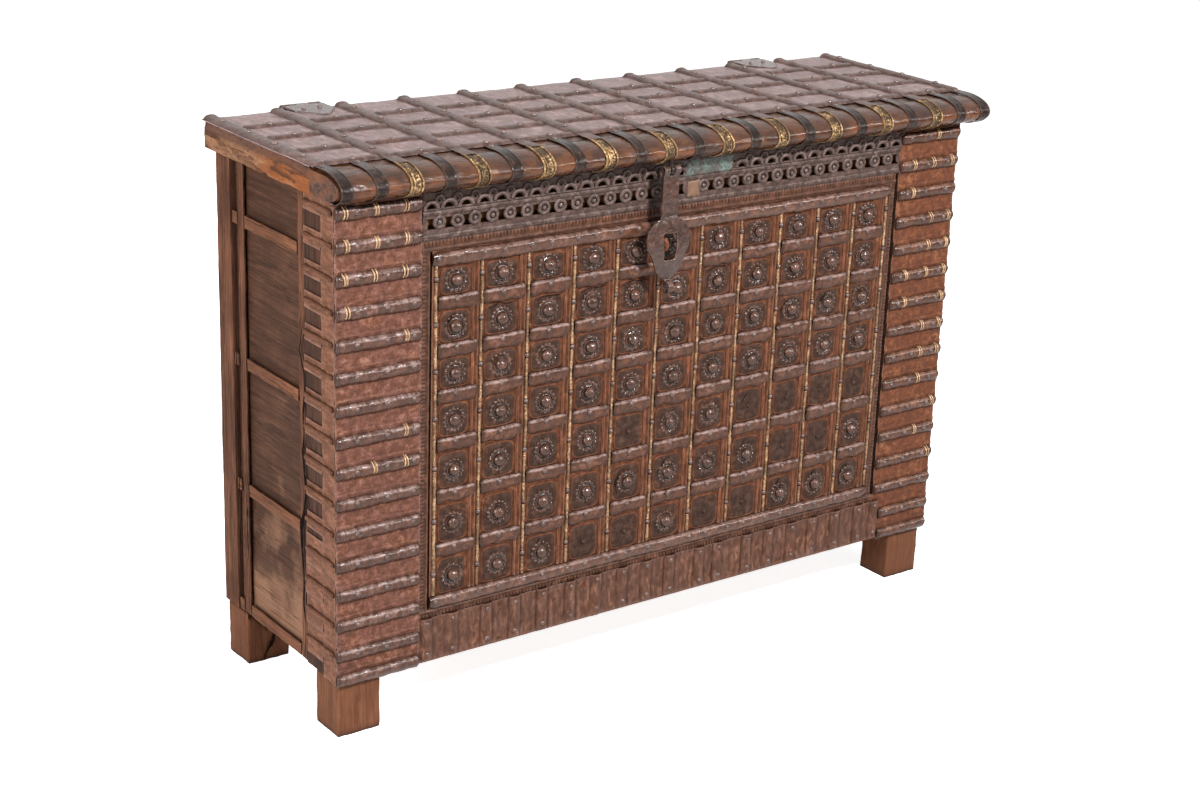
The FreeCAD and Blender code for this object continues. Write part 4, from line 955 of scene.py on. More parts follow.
front_parts = [
    sheet_on("flank_sheet_left", flank_left_box, 3.2 * mm, 1.9 * mm, flank_relief(flank_left_box)),
    sheet_on("flank_sheet_right", flank_right_box, 3.2 * mm, 1.9 * mm, flank_relief(flank_right_box)),
]
settle(join("flank_sheets", front_parts), flank_iron, "carcass", "iron_brown", "front_sheets")
ground_parts = [sheet_on("ground_" + str(i), box, 5 * mm, 3.4 * mm, ground_relief)
                for i, box in enumerate((ground_box, left_band_box, top_band_box, skirt_box))]
settle(join("lattice_ground", ground_parts), rusty_iron, "carcass", "iron_brown")

# %% [markdown]
# ## Skirt
# Below the lattice stand upright half-round strips, each lapping the next. They
# are one sheet here: its height rises to a crown at every strip, drops into a seam
# between two, and its foot is as uneven as the worn original.

# %% Skirt
skirt_boxes = solids_of("skirt_ribs")
skirt_centres = [middle(box).x for box in skirt_boxes]
skirt_left = skirt_box[0].x
skirt_right = max(box[1].x for box in skirt_boxes)
skirt_height = skirt_boxes[0][1].z - leg_top
skirt_crown = face_y - skirt_boxes[0][0].y


def skirt_relief(u, v):
    x = skirt_left + u * (skirt_right - skirt_left)
    z = leg_top + v * skirt_height
    shifted = x + 1.5 * mm * rough((x * 0.2, 0, z), 30 * mm, 8)
    near = min(abs(shifted - centre) for centre in skirt_centres)
    half = 10.5 * mm
    wave = 0.7 * mm * rough((x, 0, z), 12 * mm, 3) + 0.8 * mm * rough((x, 5, z), 30 * mm)
    if near < half:
        crown = skirt_crown * math.sqrt(max(0.0, 1 - (near / half) ** 2)) + 0.5 * mm
    else:
        crown = 1.6 * mm * math.exp(-((near - 16 * mm) / (3.5 * mm)) ** 2) + 0.5 * mm
    top_flange = 1.4 * mm * math.exp(-((1 - v) * skirt_height / (3 * mm)) ** 2)
    return crown * min(1.0, 0.35 + 14 * v) + wave + top_flange


skirt = raised_sheet("skirt", Vector((skirt_left, face_y, leg_top)), RIGHT * (skirt_right - skirt_left),
                     UP * skirt_height, FRONT, 470, 20, skirt_relief)
for vert in skirt.data.vertices:
    foot = 1 - (vert.co.z - leg_top) / skirt_height
    if foot > 0.6:
        lift = 2.2 * mm * (1 + rough((vert.co.x, 0, 0), 26 * mm, 9)) + 1.2 * mm * rough(vert.co, 8 * mm)
        vert.co.z += max(0.0, lift) * (foot - 0.6) / 0.4
settle(smooth(skirt, 55), skirt_iron, "carcass", "iron_brown", "skirt_ribs")

# %% [markdown]
# ## Notched bands
# A band of iron cut like a comb frames the lattice. A fine grid is raised as a
# plain strip along one edge and as a row of small teeth along the other.

# %% Notched bands
tooth_pitch = 6.2 * mm
notch_boxes = [
    (notch_low, Vector((notch_high.x, notch_high.y, lattice_foot))),
    (Vector((notch_low.x, notch_low.y, lattice_head)), notch_high),
    (Vector((notch_low.x, notch_low.y, lattice_foot)),
     Vector((left_notch_edge, notch_high.y, lattice_head))),
    (Vector((notch_high.x - right_notch_width, notch_low.y, lattice_foot)),
     Vector((notch_high.x, notch_high.y, lattice_head))),
]


def notched(name, box):
    """Comb along the longer side of a box, its teeth away from the lattice."""
    low, high = box
    size = high - low
    level_band = size.x > size.z
    length = size.x if level_band else size.z
    width = size.z if level_band else size.x
    lattice_middle = middle(ground_box)
    if level_band:
        corner, along = low.copy(), RIGHT * length
        across = UP * width
        if middle(box).z < lattice_middle.z:
            corner, across = Vector((low.x, low.y, high.z)), -UP * width
    else:
        corner, along = low.copy(), UP * length
        across = RIGHT * width
        if middle(box).x < lattice_middle.x:
            corner, across = Vector((high.x, low.y, low.z)), LEFT * width
    corner.y = high.y

    def height(u, v):
        place = corner + along * u
        tooth = 0.5 + 0.5 * math.sin(2 * math.pi * u * length / tooth_pitch
                                     + 0.8 * rough(place, 40 * mm, 3))
        tooth = min(1.0, max(0.0, 1.7 * tooth - 0.3)) * (0.75 + 0.5 * rough(place, 7 * mm, 6))
        wave = 0.7 * mm * rough(place + across * v, 11 * mm)
        plain = math.exp(-((v - 0.20) / 0.13) ** 2)
        comb = tooth * min(1.0, max(0.0, (v - 0.40) * 9)) * min(1.0, (1.02 - v) * 9)
        return 0.4 * mm + wave + 2.4 * mm * plain + 1.7 * mm * comb

    return raised_sheet(name, corner, along, across, FRONT, int(length / (1.05 * mm)), 9, height)


bands = [notched("notched_" + str(i), box) for i, box in enumerate(notch_boxes)]
settle(smooth(join("notched_bands_cut", bands), 50), notch_iron,
       "carcass", "iron_brown", "notched_bands")

# %% [markdown]
# ## Dark grooves beside the lattice
# A deep groove runs down both sides of the lattice. Thin dark liners at its
# bottom are painted shadow, which keeps it black between the sheets.

# %% Liners of the grooves
def liner(name, left, right, foot, head):
    """Dark strip at the bottom of a groove: painted shadow."""
    def height(u, v):
        return 0.5 * mm * rough((u, v * 20, 0), 0.6)
    return raised_sheet(name, Vector((left, face_y, foot)), RIGHT * (right - left), UP * (head - foot),
                        FRONT, 4, 90, height, 0.6 * mm)


groove_left = liner("groove_left", left_band_box[1].x + 0.3 * mm, ground_box[0].x - 0.3 * mm,
                    ground_box[0].z, ground_box[1].z)
groove_right = liner("groove_right", ground_box[1].x + 0.2 * mm, flank_right_box[0].x - 0.2 * mm,
                     ground_box[0].z, top_band_box[1].z)
for groove in (groove_left, groove_right):
    for vert in groove.data.vertices:
        vert.co.y += 3 * mm
settle(join("groove_liners", [groove_left, groove_right]), shadow_black, "carcass", "wood_carcass")

# %% [markdown]
# ## Rosette plates
# Behind every rosette lies a small dark plate with rounded corners. The plate is
# a grid whose square outline is drawn in at the corners. Its rim is turned down,
# and rust has lifted it here and there.

# %% Plates
def plate(name, low, high, seed):
    centre = (low + high) / 2
    half_x = (high.x - low.x) / 2
    half_z = (high.z - low.z) / 2
    rise = high.y - low.y

    def height(u, v):
        a, b = 2 * u - 1, 2 * v - 1
        rim = max(abs(a), abs(b))
        inner = min(1.0, (1 - rim) * 8)
        return 0.3 * mm + rise * inner + 0.5 * mm * rough((a, b, seed), 0.8)

    sheet = sheet_over(name, low, high, 12, 12, height)
    for vert in sheet.data.vertices:
        a = (vert.co.x - centre.x) / half_x
        b = (vert.co.z - centre.z) / half_z
        nibble = 1 + 0.035 * rough((a * 2, b * 2, seed), 0.7)
        vert.co.x = centre.x + half_x * a * math.sqrt(1 - 0.22 * b ** 4) * nibble
        vert.co.z = centre.z + half_z * b * math.sqrt(1 - 0.22 * a ** 4) * nibble
    return sheet


plate_boxes = solids_of("rosette_plates")
plates = [plate("plate_" + str(i), low, high, i) for i, (low, high) in enumerate(plate_boxes)]
settle(smooth(join("rosette_plates_worn", plates), 45), plate_iron,
       "carcass", "iron_brown", "rosette_plates")

# %% [markdown]
# A thin rusty ridge runs round every plate, where the sheet was pressed over its
# edge. It is a narrow grid bent round a rounded rectangle, so its two ends meet.

# %% Ridges round the plates
def ridge(name, low, high, seed):
    centre = (low + high) / 2
    half_x = (high.x - low.x) / 2
    half_z = (high.z - low.z) / 2
    strip = unit_strip(name, 44, 4)
    for vert in strip.data.vertices:
        turn = 2 * math.pi * vert.co.x
        off = (vert.co.z - 0.5) * 2
        a = math.copysign(abs(math.cos(turn)) ** 0.32, math.cos(turn))
        b = math.copysign(abs(math.sin(turn)) ** 0.32, math.sin(turn))
        wander = 0.8 * mm * rough((a * 2, b * 2, seed), 0.8)
        grow = 1.6 * mm * off + wander
        rise = 1.7 * mm * max(0.0, 1 - off * off) * (0.7 + 0.5 * rough((a * 3, b * 3, seed + 5), 0.9))
        vert.co = Vector((centre.x + a * (half_x - 0.5 * mm + grow), high.y - 0.4 * mm - rise,
                          centre.z + b * (half_z - 0.5 * mm + grow)))
    merge_doubles(strip)
    return strip


ridges = [ridge("ridge_" + str(i), low, high, i * 3.0) for i, (low, high) in enumerate(plate_boxes)]
settle(smooth(join("plate_ridges", ridges), 60), ridge_iron, "carcass", "iron_brown")

# %% [markdown]
# ## Rosettes
# A rosette is a flower struck from iron: a scalloped disc, a ring of beads and a
# high round boss. The disc starts as a circle that is inset and pushed in steps;
# its outer points are drawn out into lobes. Beads and boss are cut spheres.

# %% One rosette
def cut_ball(segments, rings, radius, height):
    """Upper half of a ball, stretched to a height."""
    clear_selection()
    bpy.ops.mesh.primitive_uv_sphere_add(segments=segments, ring_count=rings, radius=radius)
    ball = bpy.context.object
    bpy.ops.object.mode_set(mode="EDIT")
    bpy.ops.mesh.select_all(action="SELECT")
    bpy.ops.mesh.bisect(plane_co=(0, 0, -0.02 * radius), plane_no=(0, 0, 1), clear_inner=True,
                        use_fill=True)
    bpy.ops.transform.resize(value=(1, 1, height / radius), center_override=(0, 0, 0))
    bpy.ops.object.mode_set(mode="OBJECT")
    return ball


def scalloped_disc(radius, lobes, steps):
    """Disc whose rim is drawn out into lobes; steps are pairs of a share of the radius and a height."""
    clear_selection()
    bpy.ops.mesh.primitive_circle_add(vertices=4 * lobes, radius=radius, fill_type="NGON")
    disc = bpy.context.object
    bpy.ops.object.mode_set(mode="EDIT")
    bpy.ops.mesh.select_all(action="SELECT")
    bpy.ops.mesh.extrude_region_move(TRANSFORM_OT_translate={"value": (0, 0, steps[0][1])})
    previous = 1.0
    for before, step in zip(steps[:-1], steps[1:]):
        share, rise = step[0], step[1] - before[1]
        bpy.ops.mesh.extrude_region_move(TRANSFORM_OT_translate={"value": (0, 0, rise)})
        bpy.ops.transform.resize(value=(share / previous, share / previous, 1),
                                 center_override=(0, 0, 0))
        previous = share
    bpy.ops.mesh.select_all(action="SELECT")
    bpy.ops.mesh.normals_make_consistent(inside=False)
    bpy.ops.object.mode_set(mode="OBJECT")
    for vert in disc.data.vertices:
        reach = math.hypot(vert.co.x, vert.co.y)
        if reach > 0.7 * radius:
            turn = math.atan2(vert.co.y, vert.co.x)
            lobe = 1 + 0.085 * math.cos(lobes * turn) * (reach / radius)
            vert.co.x *= lobe
            vert.co.y *= lobe
    return disc


def rosette(radius, beads, boss_height, bead_height, lost=()):
    steps = [(1.0, 1.2 * mm), (0.93, 1.8 * mm), (0.74, 1.6 * mm), (0.68, 0.7 * mm),
             (0.62, 1.3 * mm), (0.56, 1.9 * mm)]
    parts = [scalloped_disc(0.94 * radius, beads, steps)]
    boss = cut_ball(20, 12, 0.52 * radius, boss_height)
    boss.data.transform(Matrix.Translation((0, 0, 1.4 * mm)))
    parts.append(boss)
    bead = cut_ball(8, 6, 0.125 * radius, bead_height)
    for i in range(beads):
        if i in lost:
            continue
        turn = 2 * math.pi * i / beads
        twin = copy_of(bead)
        twin.data.transform(Matrix.Translation((0.83 * radius * math.cos(turn),
                                                0.83 * radius * math.sin(turn), 1.3 * mm)))
        parts.append(twin)
    discard(bead)
    return join("rosette_blank", parts)


rosette_boxes = solids_of("rosettes")
rosette_radius = (rosette_boxes[0][1].x - rosette_boxes[0][0].x) / 2
blanks = [rosette(rosette_radius, 14, 5.4 * mm, 2.2 * mm),
          rosette(rosette_radius, 16, 5.0 * mm, 1.9 * mm),
          rosette(0.97 * rosette_radius, 15, 5.8 * mm, 2.4 * mm),
          rosette(rosette_radius, 15, 4.6 * mm, 1.6 * mm, (0, 1, 2, 6, 7)),
          rosette(0.98 * rosette_radius, 14, 5.2 * mm, 1.7 * mm, (3, 4, 9, 10, 11))]
stand_up = UP.rotation_difference(FRONT).to_matrix().to_4x4()
flowers = []
for low, high in rosette_boxes:
    flower = copy_of(random.choice(blanks))
    seat = Vector((middle((low, high)).x, high.y + 0.4 * mm, middle((low, high)).z))
    size = random.uniform(0.93, 1.0)
    lean = (Matrix.Rotation(random.uniform(-0.05, 0.05), 4, "X")
            @ Matrix.Rotation(random.uniform(-0.05, 0.05), 4, "Y"))
    spin = Matrix.Rotation(random.uniform(0, full_turn), 4, "Z")
    flower.data.transform(Matrix.Translation(seat) @ stand_up @ lean @ spin
                          @ Matrix.Diagonal((size, size, random.uniform(0.82, 1.05), 1)))
    flowers.append(flower)
discard(*blanks)
flowers = hammer(join("rosettes_struck", flowers), 1.5 * mm, 6 * mm, 0.65)
settle(smooth(flowers, 45), boss_iron, "carcass", "iron_brown", "rosettes")

# %% [markdown]
# ## Traces of lost rosettes
# Eleven plates have lost their rosette. Each keeps a faint ring and a low stub.
# The ring is a torus, pressed almost flat, and the stub is a cut sphere.

# %% Faint rings
def trace(centre, seed):
    clear_selection()
    bpy.ops.mesh.primitive_torus_add(major_radius=14 * mm, minor_radius=1.1 * mm, major_segments=28,
                                     minor_segments=6)
    ring = bpy.context.object
    for vert in ring.data.vertices:
        turn = math.atan2(vert.co.y, vert.co.x)
        swell = 1 + 0.10 * rough((math.cos(turn), math.sin(turn), seed), 0.8)
        vert.co.x *= swell
        vert.co.y *= swell
        vert.co.z = vert.co.z * (0.5 + 0.5 * rough((math.cos(turn), math.sin(turn), seed + 9), 0.7))
    ring.data.transform(Matrix.Translation(centre) @ stand_up)
    stub = cut_ball(10, 6, 4.5 * mm, 1.6 * mm)
    stub.data.transform(Matrix.Translation(centre + RIGHT * random.uniform(-2, 2) * mm) @ stand_up)
    return join("trace", [ring, stub])


traces = []
for i, box in enumerate(plate_boxes):
    centre = middle(box)
    if any((middle(other) - centre).length < 15 * mm for other in rosette_boxes):
        continue
    centre.y = box[0].y - 0.2 * mm
    traces.append(trace(centre, i))
print("lost rosettes:", len(traces))
settle(smooth(join("rosette_traces", traces), 60), plate_iron, "carcass", "iron_brown")

# %% [markdown]
# ## Tears
# Thin iron has torn along some of the ribs and round a few rosettes. Each tear
# is a narrow black ribbon of painted shadow, for the dark inside of the tear, along a
# jagged line, wide in the middle and pointed at its ends.

# %% Jagged ribbons
def ribbon(name, line, width, seed, out, steps=26):
    """Narrow strip along a line of points, its ends pointed, facing outwards."""
    lengths = [(b - a).length for a, b in zip(line[:-1], line[1:])]
    whole = sum(lengths)
    strip = unit_strip(name, steps, 2)
    for vert in strip.data.vertices:
        share, off = vert.co.x * whole, (vert.co.z - 0.5) * 2
        for i, length in enumerate(lengths):
            if share <= length or i == len(lengths) - 1:
                break
            share -= length
        way = (line[i + 1] - line[i]).normalized()
        across = out.cross(way)
        taper = math.sin(math.pi * min(1.0, max(0.0, vert.co.x))) ** 0.6
        jag = 0.9 * mm * rough((vert.co.x * 9, seed, 0), 0.6)
        wide = width * (0.55 + 0.6 * rough((vert.co.x * 7, seed, 5), 0.7)) * taper
        vert.co = line[i] + way * share + across * (jag + off * wide / 2)
    return strip


def cell_of(column, row):
    """Box of the plate in a column and a row, both counted from the lower left."""
    left_edge = sorted({box[0].x for box in plate_boxes})[column]
    column_boxes = [box for box in plate_boxes if abs(box[0].x - left_edge) < 1 * mm]
    return sorted(column_boxes, key=lambda box: box[0].z)[row]


torn_edge = [(-1.0, 0.86), (-0.62, 0.78), (-0.38, 1.0), (-0.1, 1.04), (0.3, 0.96), (0.95, 0.98),
             (1.02, 1.34)]
torn_side = [(-0.15, 0.82), (-0.55, 0.62), (-0.86, 0.1), (-0.80, -0.35), (-0.62, -0.62)]
torn_slant = [(-0.75, 0.02), (-0.42, 0.42), (-0.2, 0.80), (0.1, 0.92)]
tear_places = [(1, 5, torn_edge), (2, 5, torn_edge), (3, 5, torn_edge), (0, 5, torn_slant),
               (4, 5, torn_edge), (6, 5, torn_edge), (4, 1, torn_side), (5, 1, torn_slant),
               (7, 2, torn_slant), (8, 0, torn_slant), (9, 0, torn_slant), (10, 0, torn_side),
               (8, 4, torn_side), (9, 4, torn_slant), (7, 1, torn_slant), (2, 0, torn_slant)]
tears = []
for i, (column, row, shape) in enumerate(tear_places):
    low, high = cell_of(column, row)
    centre = middle((low, high))
    half = (high - low) / 2
    line = [Vector((centre.x + a * half.x * random.uniform(0.94, 1.04), low.y - 1.5 * mm,
                    centre.z + b * half.z * random.uniform(0.96, 1.03))) for a, b in shape]
    tears.append(ribbon("tear_" + str(i), line, 2.4 * mm, i, FRONT))
settle(join("torn_places", tears), shadow_black, "carcass", "iron_dark")

# %% [markdown]
# ## Rails between the columns
# Each column of plates is bordered by a grooved iron rail. Its cross-section has
# two low ridges with a furrow between them, and it wanders a little on its way up.

# %% Grooved rails
def rail(name, low, high, seed):
    size = high - low

    def height(u, v):
        z = low.z + v * size.z
        ridges = math.exp(-((u - 0.22) / 0.15) ** 2) + 0.85 * math.exp(-((u - 0.80) / 0.15) ** 2)
        wear = 0.75 + 0.3 * rough((u, seed, z), 18 * mm)
        return 0.4 * mm + 3.3 * mm * ridges * wear + 0.5 * mm * rough((u * 0.02, seed, z), 6 * mm, 4)

    sheet = sheet_over(name, low, high, 14, int(size.z / (3.6 * mm)), height)
    for vert in sheet.data.vertices:
        vert.co.x += 0.7 * mm * rough((seed, 0, vert.co.z), 46 * mm)
    return sheet


rails = [rail("rail_" + str(i), low, high, i)
         for i, (low, high) in enumerate(solids_of("lattice_rails"))]
settle(smooth(join("lattice_rails_grooved", rails), 50), rail_iron,
       "carcass", "iron_brown", "lattice_rails")

# %% [markdown]
# ## Brass strips
# A beaded brass strip runs up every rail, cut at each nail. It is a narrow sheet
# with a round crown, pinched every two millimetres, which gives the look of twisted
# wire. The strip bows from nail to nail, because hand-cut brass is never straight.

# %% Beaded strips
bead_pitch = 2.3 * mm


def beaded_strip(name, low, high, seed):
    size = high - low
    bow = random.uniform(-1.1, 1.1) * mm

    def height(u, v):
        z = low.z + v * size.z
        round_part = math.sqrt(max(0.0, 1 - (2 * u - 1) ** 2))
        beads = 0.62 + 0.38 * abs(math.sin(math.pi * (z + 0.7 * mm * (u - 0.5)) / bead_pitch))
        wear_and_sheen = 0.86 + 0.22 * rough((0, seed, z), 16 * mm)
        return 0.3 * mm + size.y * 1.02 * round_part * beads * wear_and_sheen

    strip = sheet_over(name, low, high, 6, int(size.z / (0.62 * mm)), height, 0)
    for vert in strip.data.vertices:
        v = (vert.co.z - low.z) / size.z
        narrow = 0.82 + 0.12 * rough((seed, 0, vert.co.z), 10 * mm)
        vert.co.x = middle((low, high)).x + (vert.co.x - middle((low, high)).x) * narrow
        vert.co.x += bow * math.sin(math.pi * v) + 0.35 * mm * rough((seed, 3, vert.co.z), 14 * mm)
    return strip


strips = [beaded_strip("strip_" + str(i), low, high, i)
          for i, (low, high) in enumerate(solids_of("brass_strips"))]
settle(smooth(join("brass_strips_beaded", strips), 60), strip_brass,
       "carcass", "brass", "brass_strips")

# %% [markdown]
# ## Brass rings on the flank ribs
# Here and there a pair of brass wires is bent over a rib. One wire is half a
# torus: the ring is cut by the plane of the sheet, and copies are set side by side.

# %% Pairs of wires
clear_selection()
bpy.ops.mesh.primitive_torus_add(major_radius=9.3 * mm, minor_radius=1.25 * mm, major_segments=26,
                                 minor_segments=8, rotation=(0, math.pi / 2, 0))
wire = bpy.context.object
bpy.ops.object.transform_apply(location=False, rotation=True, scale=False)
bpy.ops.object.mode_set(mode="EDIT")
bpy.ops.mesh.select_all(action="SELECT")
bpy.ops.mesh.bisect(plane_co=(0, 0, 0), plane_no=(0, 1, 0), clear_outer=True, use_fill=True)
bpy.ops.object.mode_set(mode="OBJECT")
wires = []
for box in solids_of("flank_brass_rings"):
    seat = middle(box)
    seat.y = face_y
    for side in (-1, 1):
        twin = copy_of(wire)
        spread = side * random.uniform(1.9, 2.6) * mm
        lean = Matrix.Rotation(random.uniform(-0.12, 0.12), 4, "Y")
        twin.data.transform(Matrix.Translation(seat + RIGHT * spread) @ lean)
        wires.append(twin)
    if random.random() < 0.45:
        twin = copy_of(wire)
        twin.data.transform(Matrix.Translation(seat) @ Matrix.Diagonal((0.6, 0.97, 0.97, 1)))
        wires.append(twin)
discard(wire)
settle(smooth(join("rib_brass_wires", wires), 60), ring_brass,
       "carcass", "brass", "flank_brass_rings")

# %% [markdown]
# ## Corner wraps
# On each end the flank's iron is turned round the corner. Behind a plain strip it
# is slit into tabs, one for each rib, and a thin half-round rod lies on every tab.

# %% Wraps with their tabs and rods
wrap_boxes = solids_of("corner_wraps")
side_rib_boxes = solids_of("side_ribs")
wrap_strip = 37 * mm
tab_height = 25 * mm
closed_below = 330 * mm
closed_height = 51 * mm


def wrap(name, box, outward):
    low, high = box
    outer = high.x if outward.x > 0 else low.x
    inner = outer - outward.x * (high.x - low.x)
    start = Vector((inner, low.y, low.z))

    def strip_relief(u, v):
        z = low.z + v * (high.z - low.z)
        return (1.3 + 0.9 * rough((u, 0, z), 30 * mm) + 0.9 * rough((u * 0.03, 3, z), 8 * mm)) * mm

    parts = [raised_sheet(name, start, BACK * wrap_strip, UP * (high.z - low.z), outward,
                          12, 240, strip_relief)]
    for rib in [b for b in side_rib_boxes if (middle(b).x > 0) == (outward.x > 0)]:
        z = middle(rib).z
        tall = tab_height if z > closed_below else closed_height
        foot = max(z - tall / 2 + random.uniform(-1.5, 1.0) * mm, low.z)
        head = min(z + tall / 2 + random.uniform(-1.0, 1.5) * mm, high.z)
        length = high.y - low.y - wrap_strip + random.uniform(-4, 0) * mm
        seed = z * 40

        def tab_relief(u, v, seed=seed):
            fold = 1.3 * mm * math.exp(-((v - 0.12) / 0.10) ** 2)
            return (0.9 + 0.9 * rough((u * 2, seed, v * 2), 1.1)) * mm + fold

        parts.append(raised_sheet(name + "_tab", start + BACK * wrap_strip + UP * (foot - low.z),
                                  BACK * length, UP * (head - foot), outward, 18, 9, tab_relief))
    return join(name, parts)


wraps = [wrap("wrap_left", wrap_boxes[0], LEFT), wrap("wrap_right", wrap_boxes[1], RIGHT)]
settle(smooth(join("corner_wraps_beaten", wraps), 45), wrap_iron,
       "carcass", "iron_brown", "corner_wraps")

settle(ribs("side_ribs_forged", "side_ribs", 22, BACK, LEFT, 0.35, 1.4 * mm), wrap_iron,
       "carcass", "iron_brown", "side_ribs")

# %% [markdown]
# The boards of the ends have shrunk. A black, wavy gap has opened behind the
# wraps, and a shorter one beside the rear stile. Each gap, and the split in the
# rear left leg, is a ribbon of painted shadow.

# %% Gaps in the ends
gaps = []
for outward, node in ((LEFT, "post_front_left"), (RIGHT, "post_front_right")):
    low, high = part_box(node)
    skin_x = (low.x if outward.x < 0 else high.x) + outward.x * 1.4 * mm
    for i, (y, foot, head, width) in enumerate(((-87 * mm, 96 * mm, 660 * mm, 11 * mm),
                                               (99.5 * mm, 190 * mm, 345 * mm, 6 * mm),
                                               (123 * mm, 210 * mm, 620 * mm, 5 * mm))):
        count = 18
        sway = 14 * mm if i == 0 else 5 * mm
        line = [Vector((skin_x, y + sway * rough((i, outward.x, k), 1.7, 3),
                        foot + (head - foot) * k / count))
                for k in range(count + 1)]
        gaps.append(ribbon("gap_" + str(i), line, width, i + 40 + outward.x, outward, 120))
leg_low, leg_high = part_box("leg_rear_left")
count = 14
line = []
for k in range(count + 1):
    share = k / count
    line.append(Vector((leg_high.x - 6 * mm - 44 * mm * share + 5 * mm * rough((share, 2, 7), 0.25, 3),
                        leg_low.y - 0.5 * mm,
                        leg_high.z - 4 * mm - (leg_high.z - leg_low.z - 7 * mm) * share)))
leg_gap = ribbon("gap_leg", line, 9 * mm, 61, FRONT, 120)
break_away(leg_gap, leg_low, leg_high)
keep_within(leg_gap, Vector((leg_low.x, leg_low.y - 1 * mm, leg_low.z)),
            leg_high - Vector((4 * mm, 0, 0)))
gaps.append(leg_gap)
settle(join("end_gaps", gaps), shadow_black, "carcass", "wood_carcass")

# %% [markdown]
# ## Pierced frieze
# The frieze under the lid is a sheet cut through into drops and half moons. The
# solid holds the openings. On it lie a ring round every boss, an arched rim over
# every half moon, a studded strip and a border at the foot, all raised from the
# same sheet on the original.

# %% Rings, rims and borders of the frieze
frieze_face = frieze_low.y
frieze_foot = frieze_low.z
stud_boxes = solids_of("frieze_studs")
boss_places = [middle(box) for box in stud_boxes if box[1].x - box[0].x > 7 * mm]
ring_rise = boss_places[0].z
ring_first = min(place.x for place in boss_places)
ring_last = max(place.x for place in boss_places)
ring_count = 30
drop_pitch = (ring_last - ring_first) / (ring_count - 1)
ring_places = [ring_first + i * drop_pitch for i in range(ring_count)]
patch_boxes = solids_of("frieze_patches")
patch_margin = 4 * mm


def under_patch(x, z):
    return any(low.x - patch_margin < x < high.x + patch_margin
               and low.z - patch_margin < z < high.z + patch_margin for low, high in patch_boxes)


clear_selection()
bpy.ops.mesh.primitive_torus_add(major_radius=8.3 * mm, minor_radius=3.5 * mm, major_segments=40,
                                 minor_segments=8)
disc_ring = bpy.context.object
for vert in disc_ring.data.vertices:
    turn = math.atan2(vert.co.y, vert.co.x)
    reach = math.hypot(vert.co.x, vert.co.y)
    if reach > 8.2 * mm:
        lobe = 1 + 0.02 * math.cos(7 * turn)
        vert.co.x *= lobe
        vert.co.y *= lobe
    vert.co.z *= 0.80 + 0.06 * math.cos(7 * turn)
rings = []
for x in ring_places:
    if under_patch(x, ring_rise):
        continue
    twin = copy_of(disc_ring)
    size = random.uniform(0.94, 1.02)
    twin.data.transform(Matrix.Translation((x + random.uniform(-0.5, 0.5) * mm, frieze_face - 0.1 * mm,
                                            ring_rise + random.uniform(-0.5, 0.5) * mm)) @ stand_up
                        @ Matrix.Rotation(random.uniform(-0.08, 0.08), 4, "X")
                        @ Matrix.Rotation(random.uniform(0, full_turn), 4, "Z")
                        @ Matrix.Diagonal((size, size * random.uniform(0.93, 1.04),
                                           random.uniform(0.75, 1.05), 1)))
    rings.append(twin)
    yoke = raised_sheet("yoke", Vector((x - 3.2 * mm, frieze_face, ring_rise + 8 * mm)),
                        RIGHT * 6.4 * mm, UP * (frieze_foot + 39 * mm - ring_rise - 8 * mm), FRONT, 6, 6,
                        lambda u, v: 0.3 * mm + 1.4 * mm * math.sin(math.pi * u) ** 0.7, 0)
    rings.append(yoke)
discard(disc_ring)

arch_foot = 48 * mm
clear_selection()
bpy.ops.mesh.primitive_torus_add(major_radius=11.2 * mm, minor_radius=3.6 * mm, major_segments=32,
                                 minor_segments=10)
rim = bpy.context.object
bpy.ops.object.mode_set(mode="EDIT")
bpy.ops.mesh.select_all(action="SELECT")
bpy.ops.mesh.bisect(plane_co=(0, 0, 0), plane_no=(0, 1, 0), clear_inner=True, use_fill=True)
bpy.ops.transform.resize(value=(1, 1.04, 0.85), center_override=(0, 0, 0))
bpy.ops.object.mode_set(mode="OBJECT")
rims = []
for i in range(ring_count + 1):
    x = ring_first + (i - 0.5) * drop_pitch
    if under_patch(x, frieze_foot + arch_foot + 8 * mm):
        continue
    twin = copy_of(rim)
    shift = Vector((random.uniform(-0.8, 0.8), 0, random.uniform(-0.7, 0.7))) * mm
    size = random.uniform(0.93, 1.05)
    seat = Vector((x, frieze_face - 0.1 * mm, frieze_foot + arch_foot)) + shift
    twin.data.transform(Matrix.Translation(seat) @ stand_up
                        @ Matrix.Rotation(random.uniform(-0.12, 0.12), 4, "Z")
                        @ Matrix.Diagonal((size, random.uniform(0.9, 1.0), random.uniform(0.7, 1.0), 1)))
    rims.append(twin)
    scale = copy_of(rim)
    scale.data.transform(Matrix.Translation((x + drop_pitch / 2, frieze_face - 0.1 * mm,
                                             frieze_foot + arch_foot + 11 * mm))
                         @ stand_up @ Matrix.Rotation(random.uniform(-0.15, 0.15), 4, "Z")
                         @ Matrix.Diagonal((0.62, random.uniform(0.72, 0.82), 0.75, 1)))
    rims.append(scale)
discard(rim)


def frieze_strip(name, foot, width, crown):
    """Raised strip along the frieze, with a slightly beaten edge."""
    def height(u, v):
        x = frieze_low.x + u * (frieze_high.x - frieze_low.x)
        swell = 1 + 0.4 * rough((x, 0, foot), 12 * mm)
        return 0.2 * mm + crown * swell * math.sqrt(max(0.0, 1 - (2 * v - 1) ** 2))

    return raised_sheet(name, Vector((frieze_low.x, frieze_face, foot)),
                        RIGHT * (frieze_high.x - frieze_low.x), UP * width, FRONT, 300, 6, height, 0)


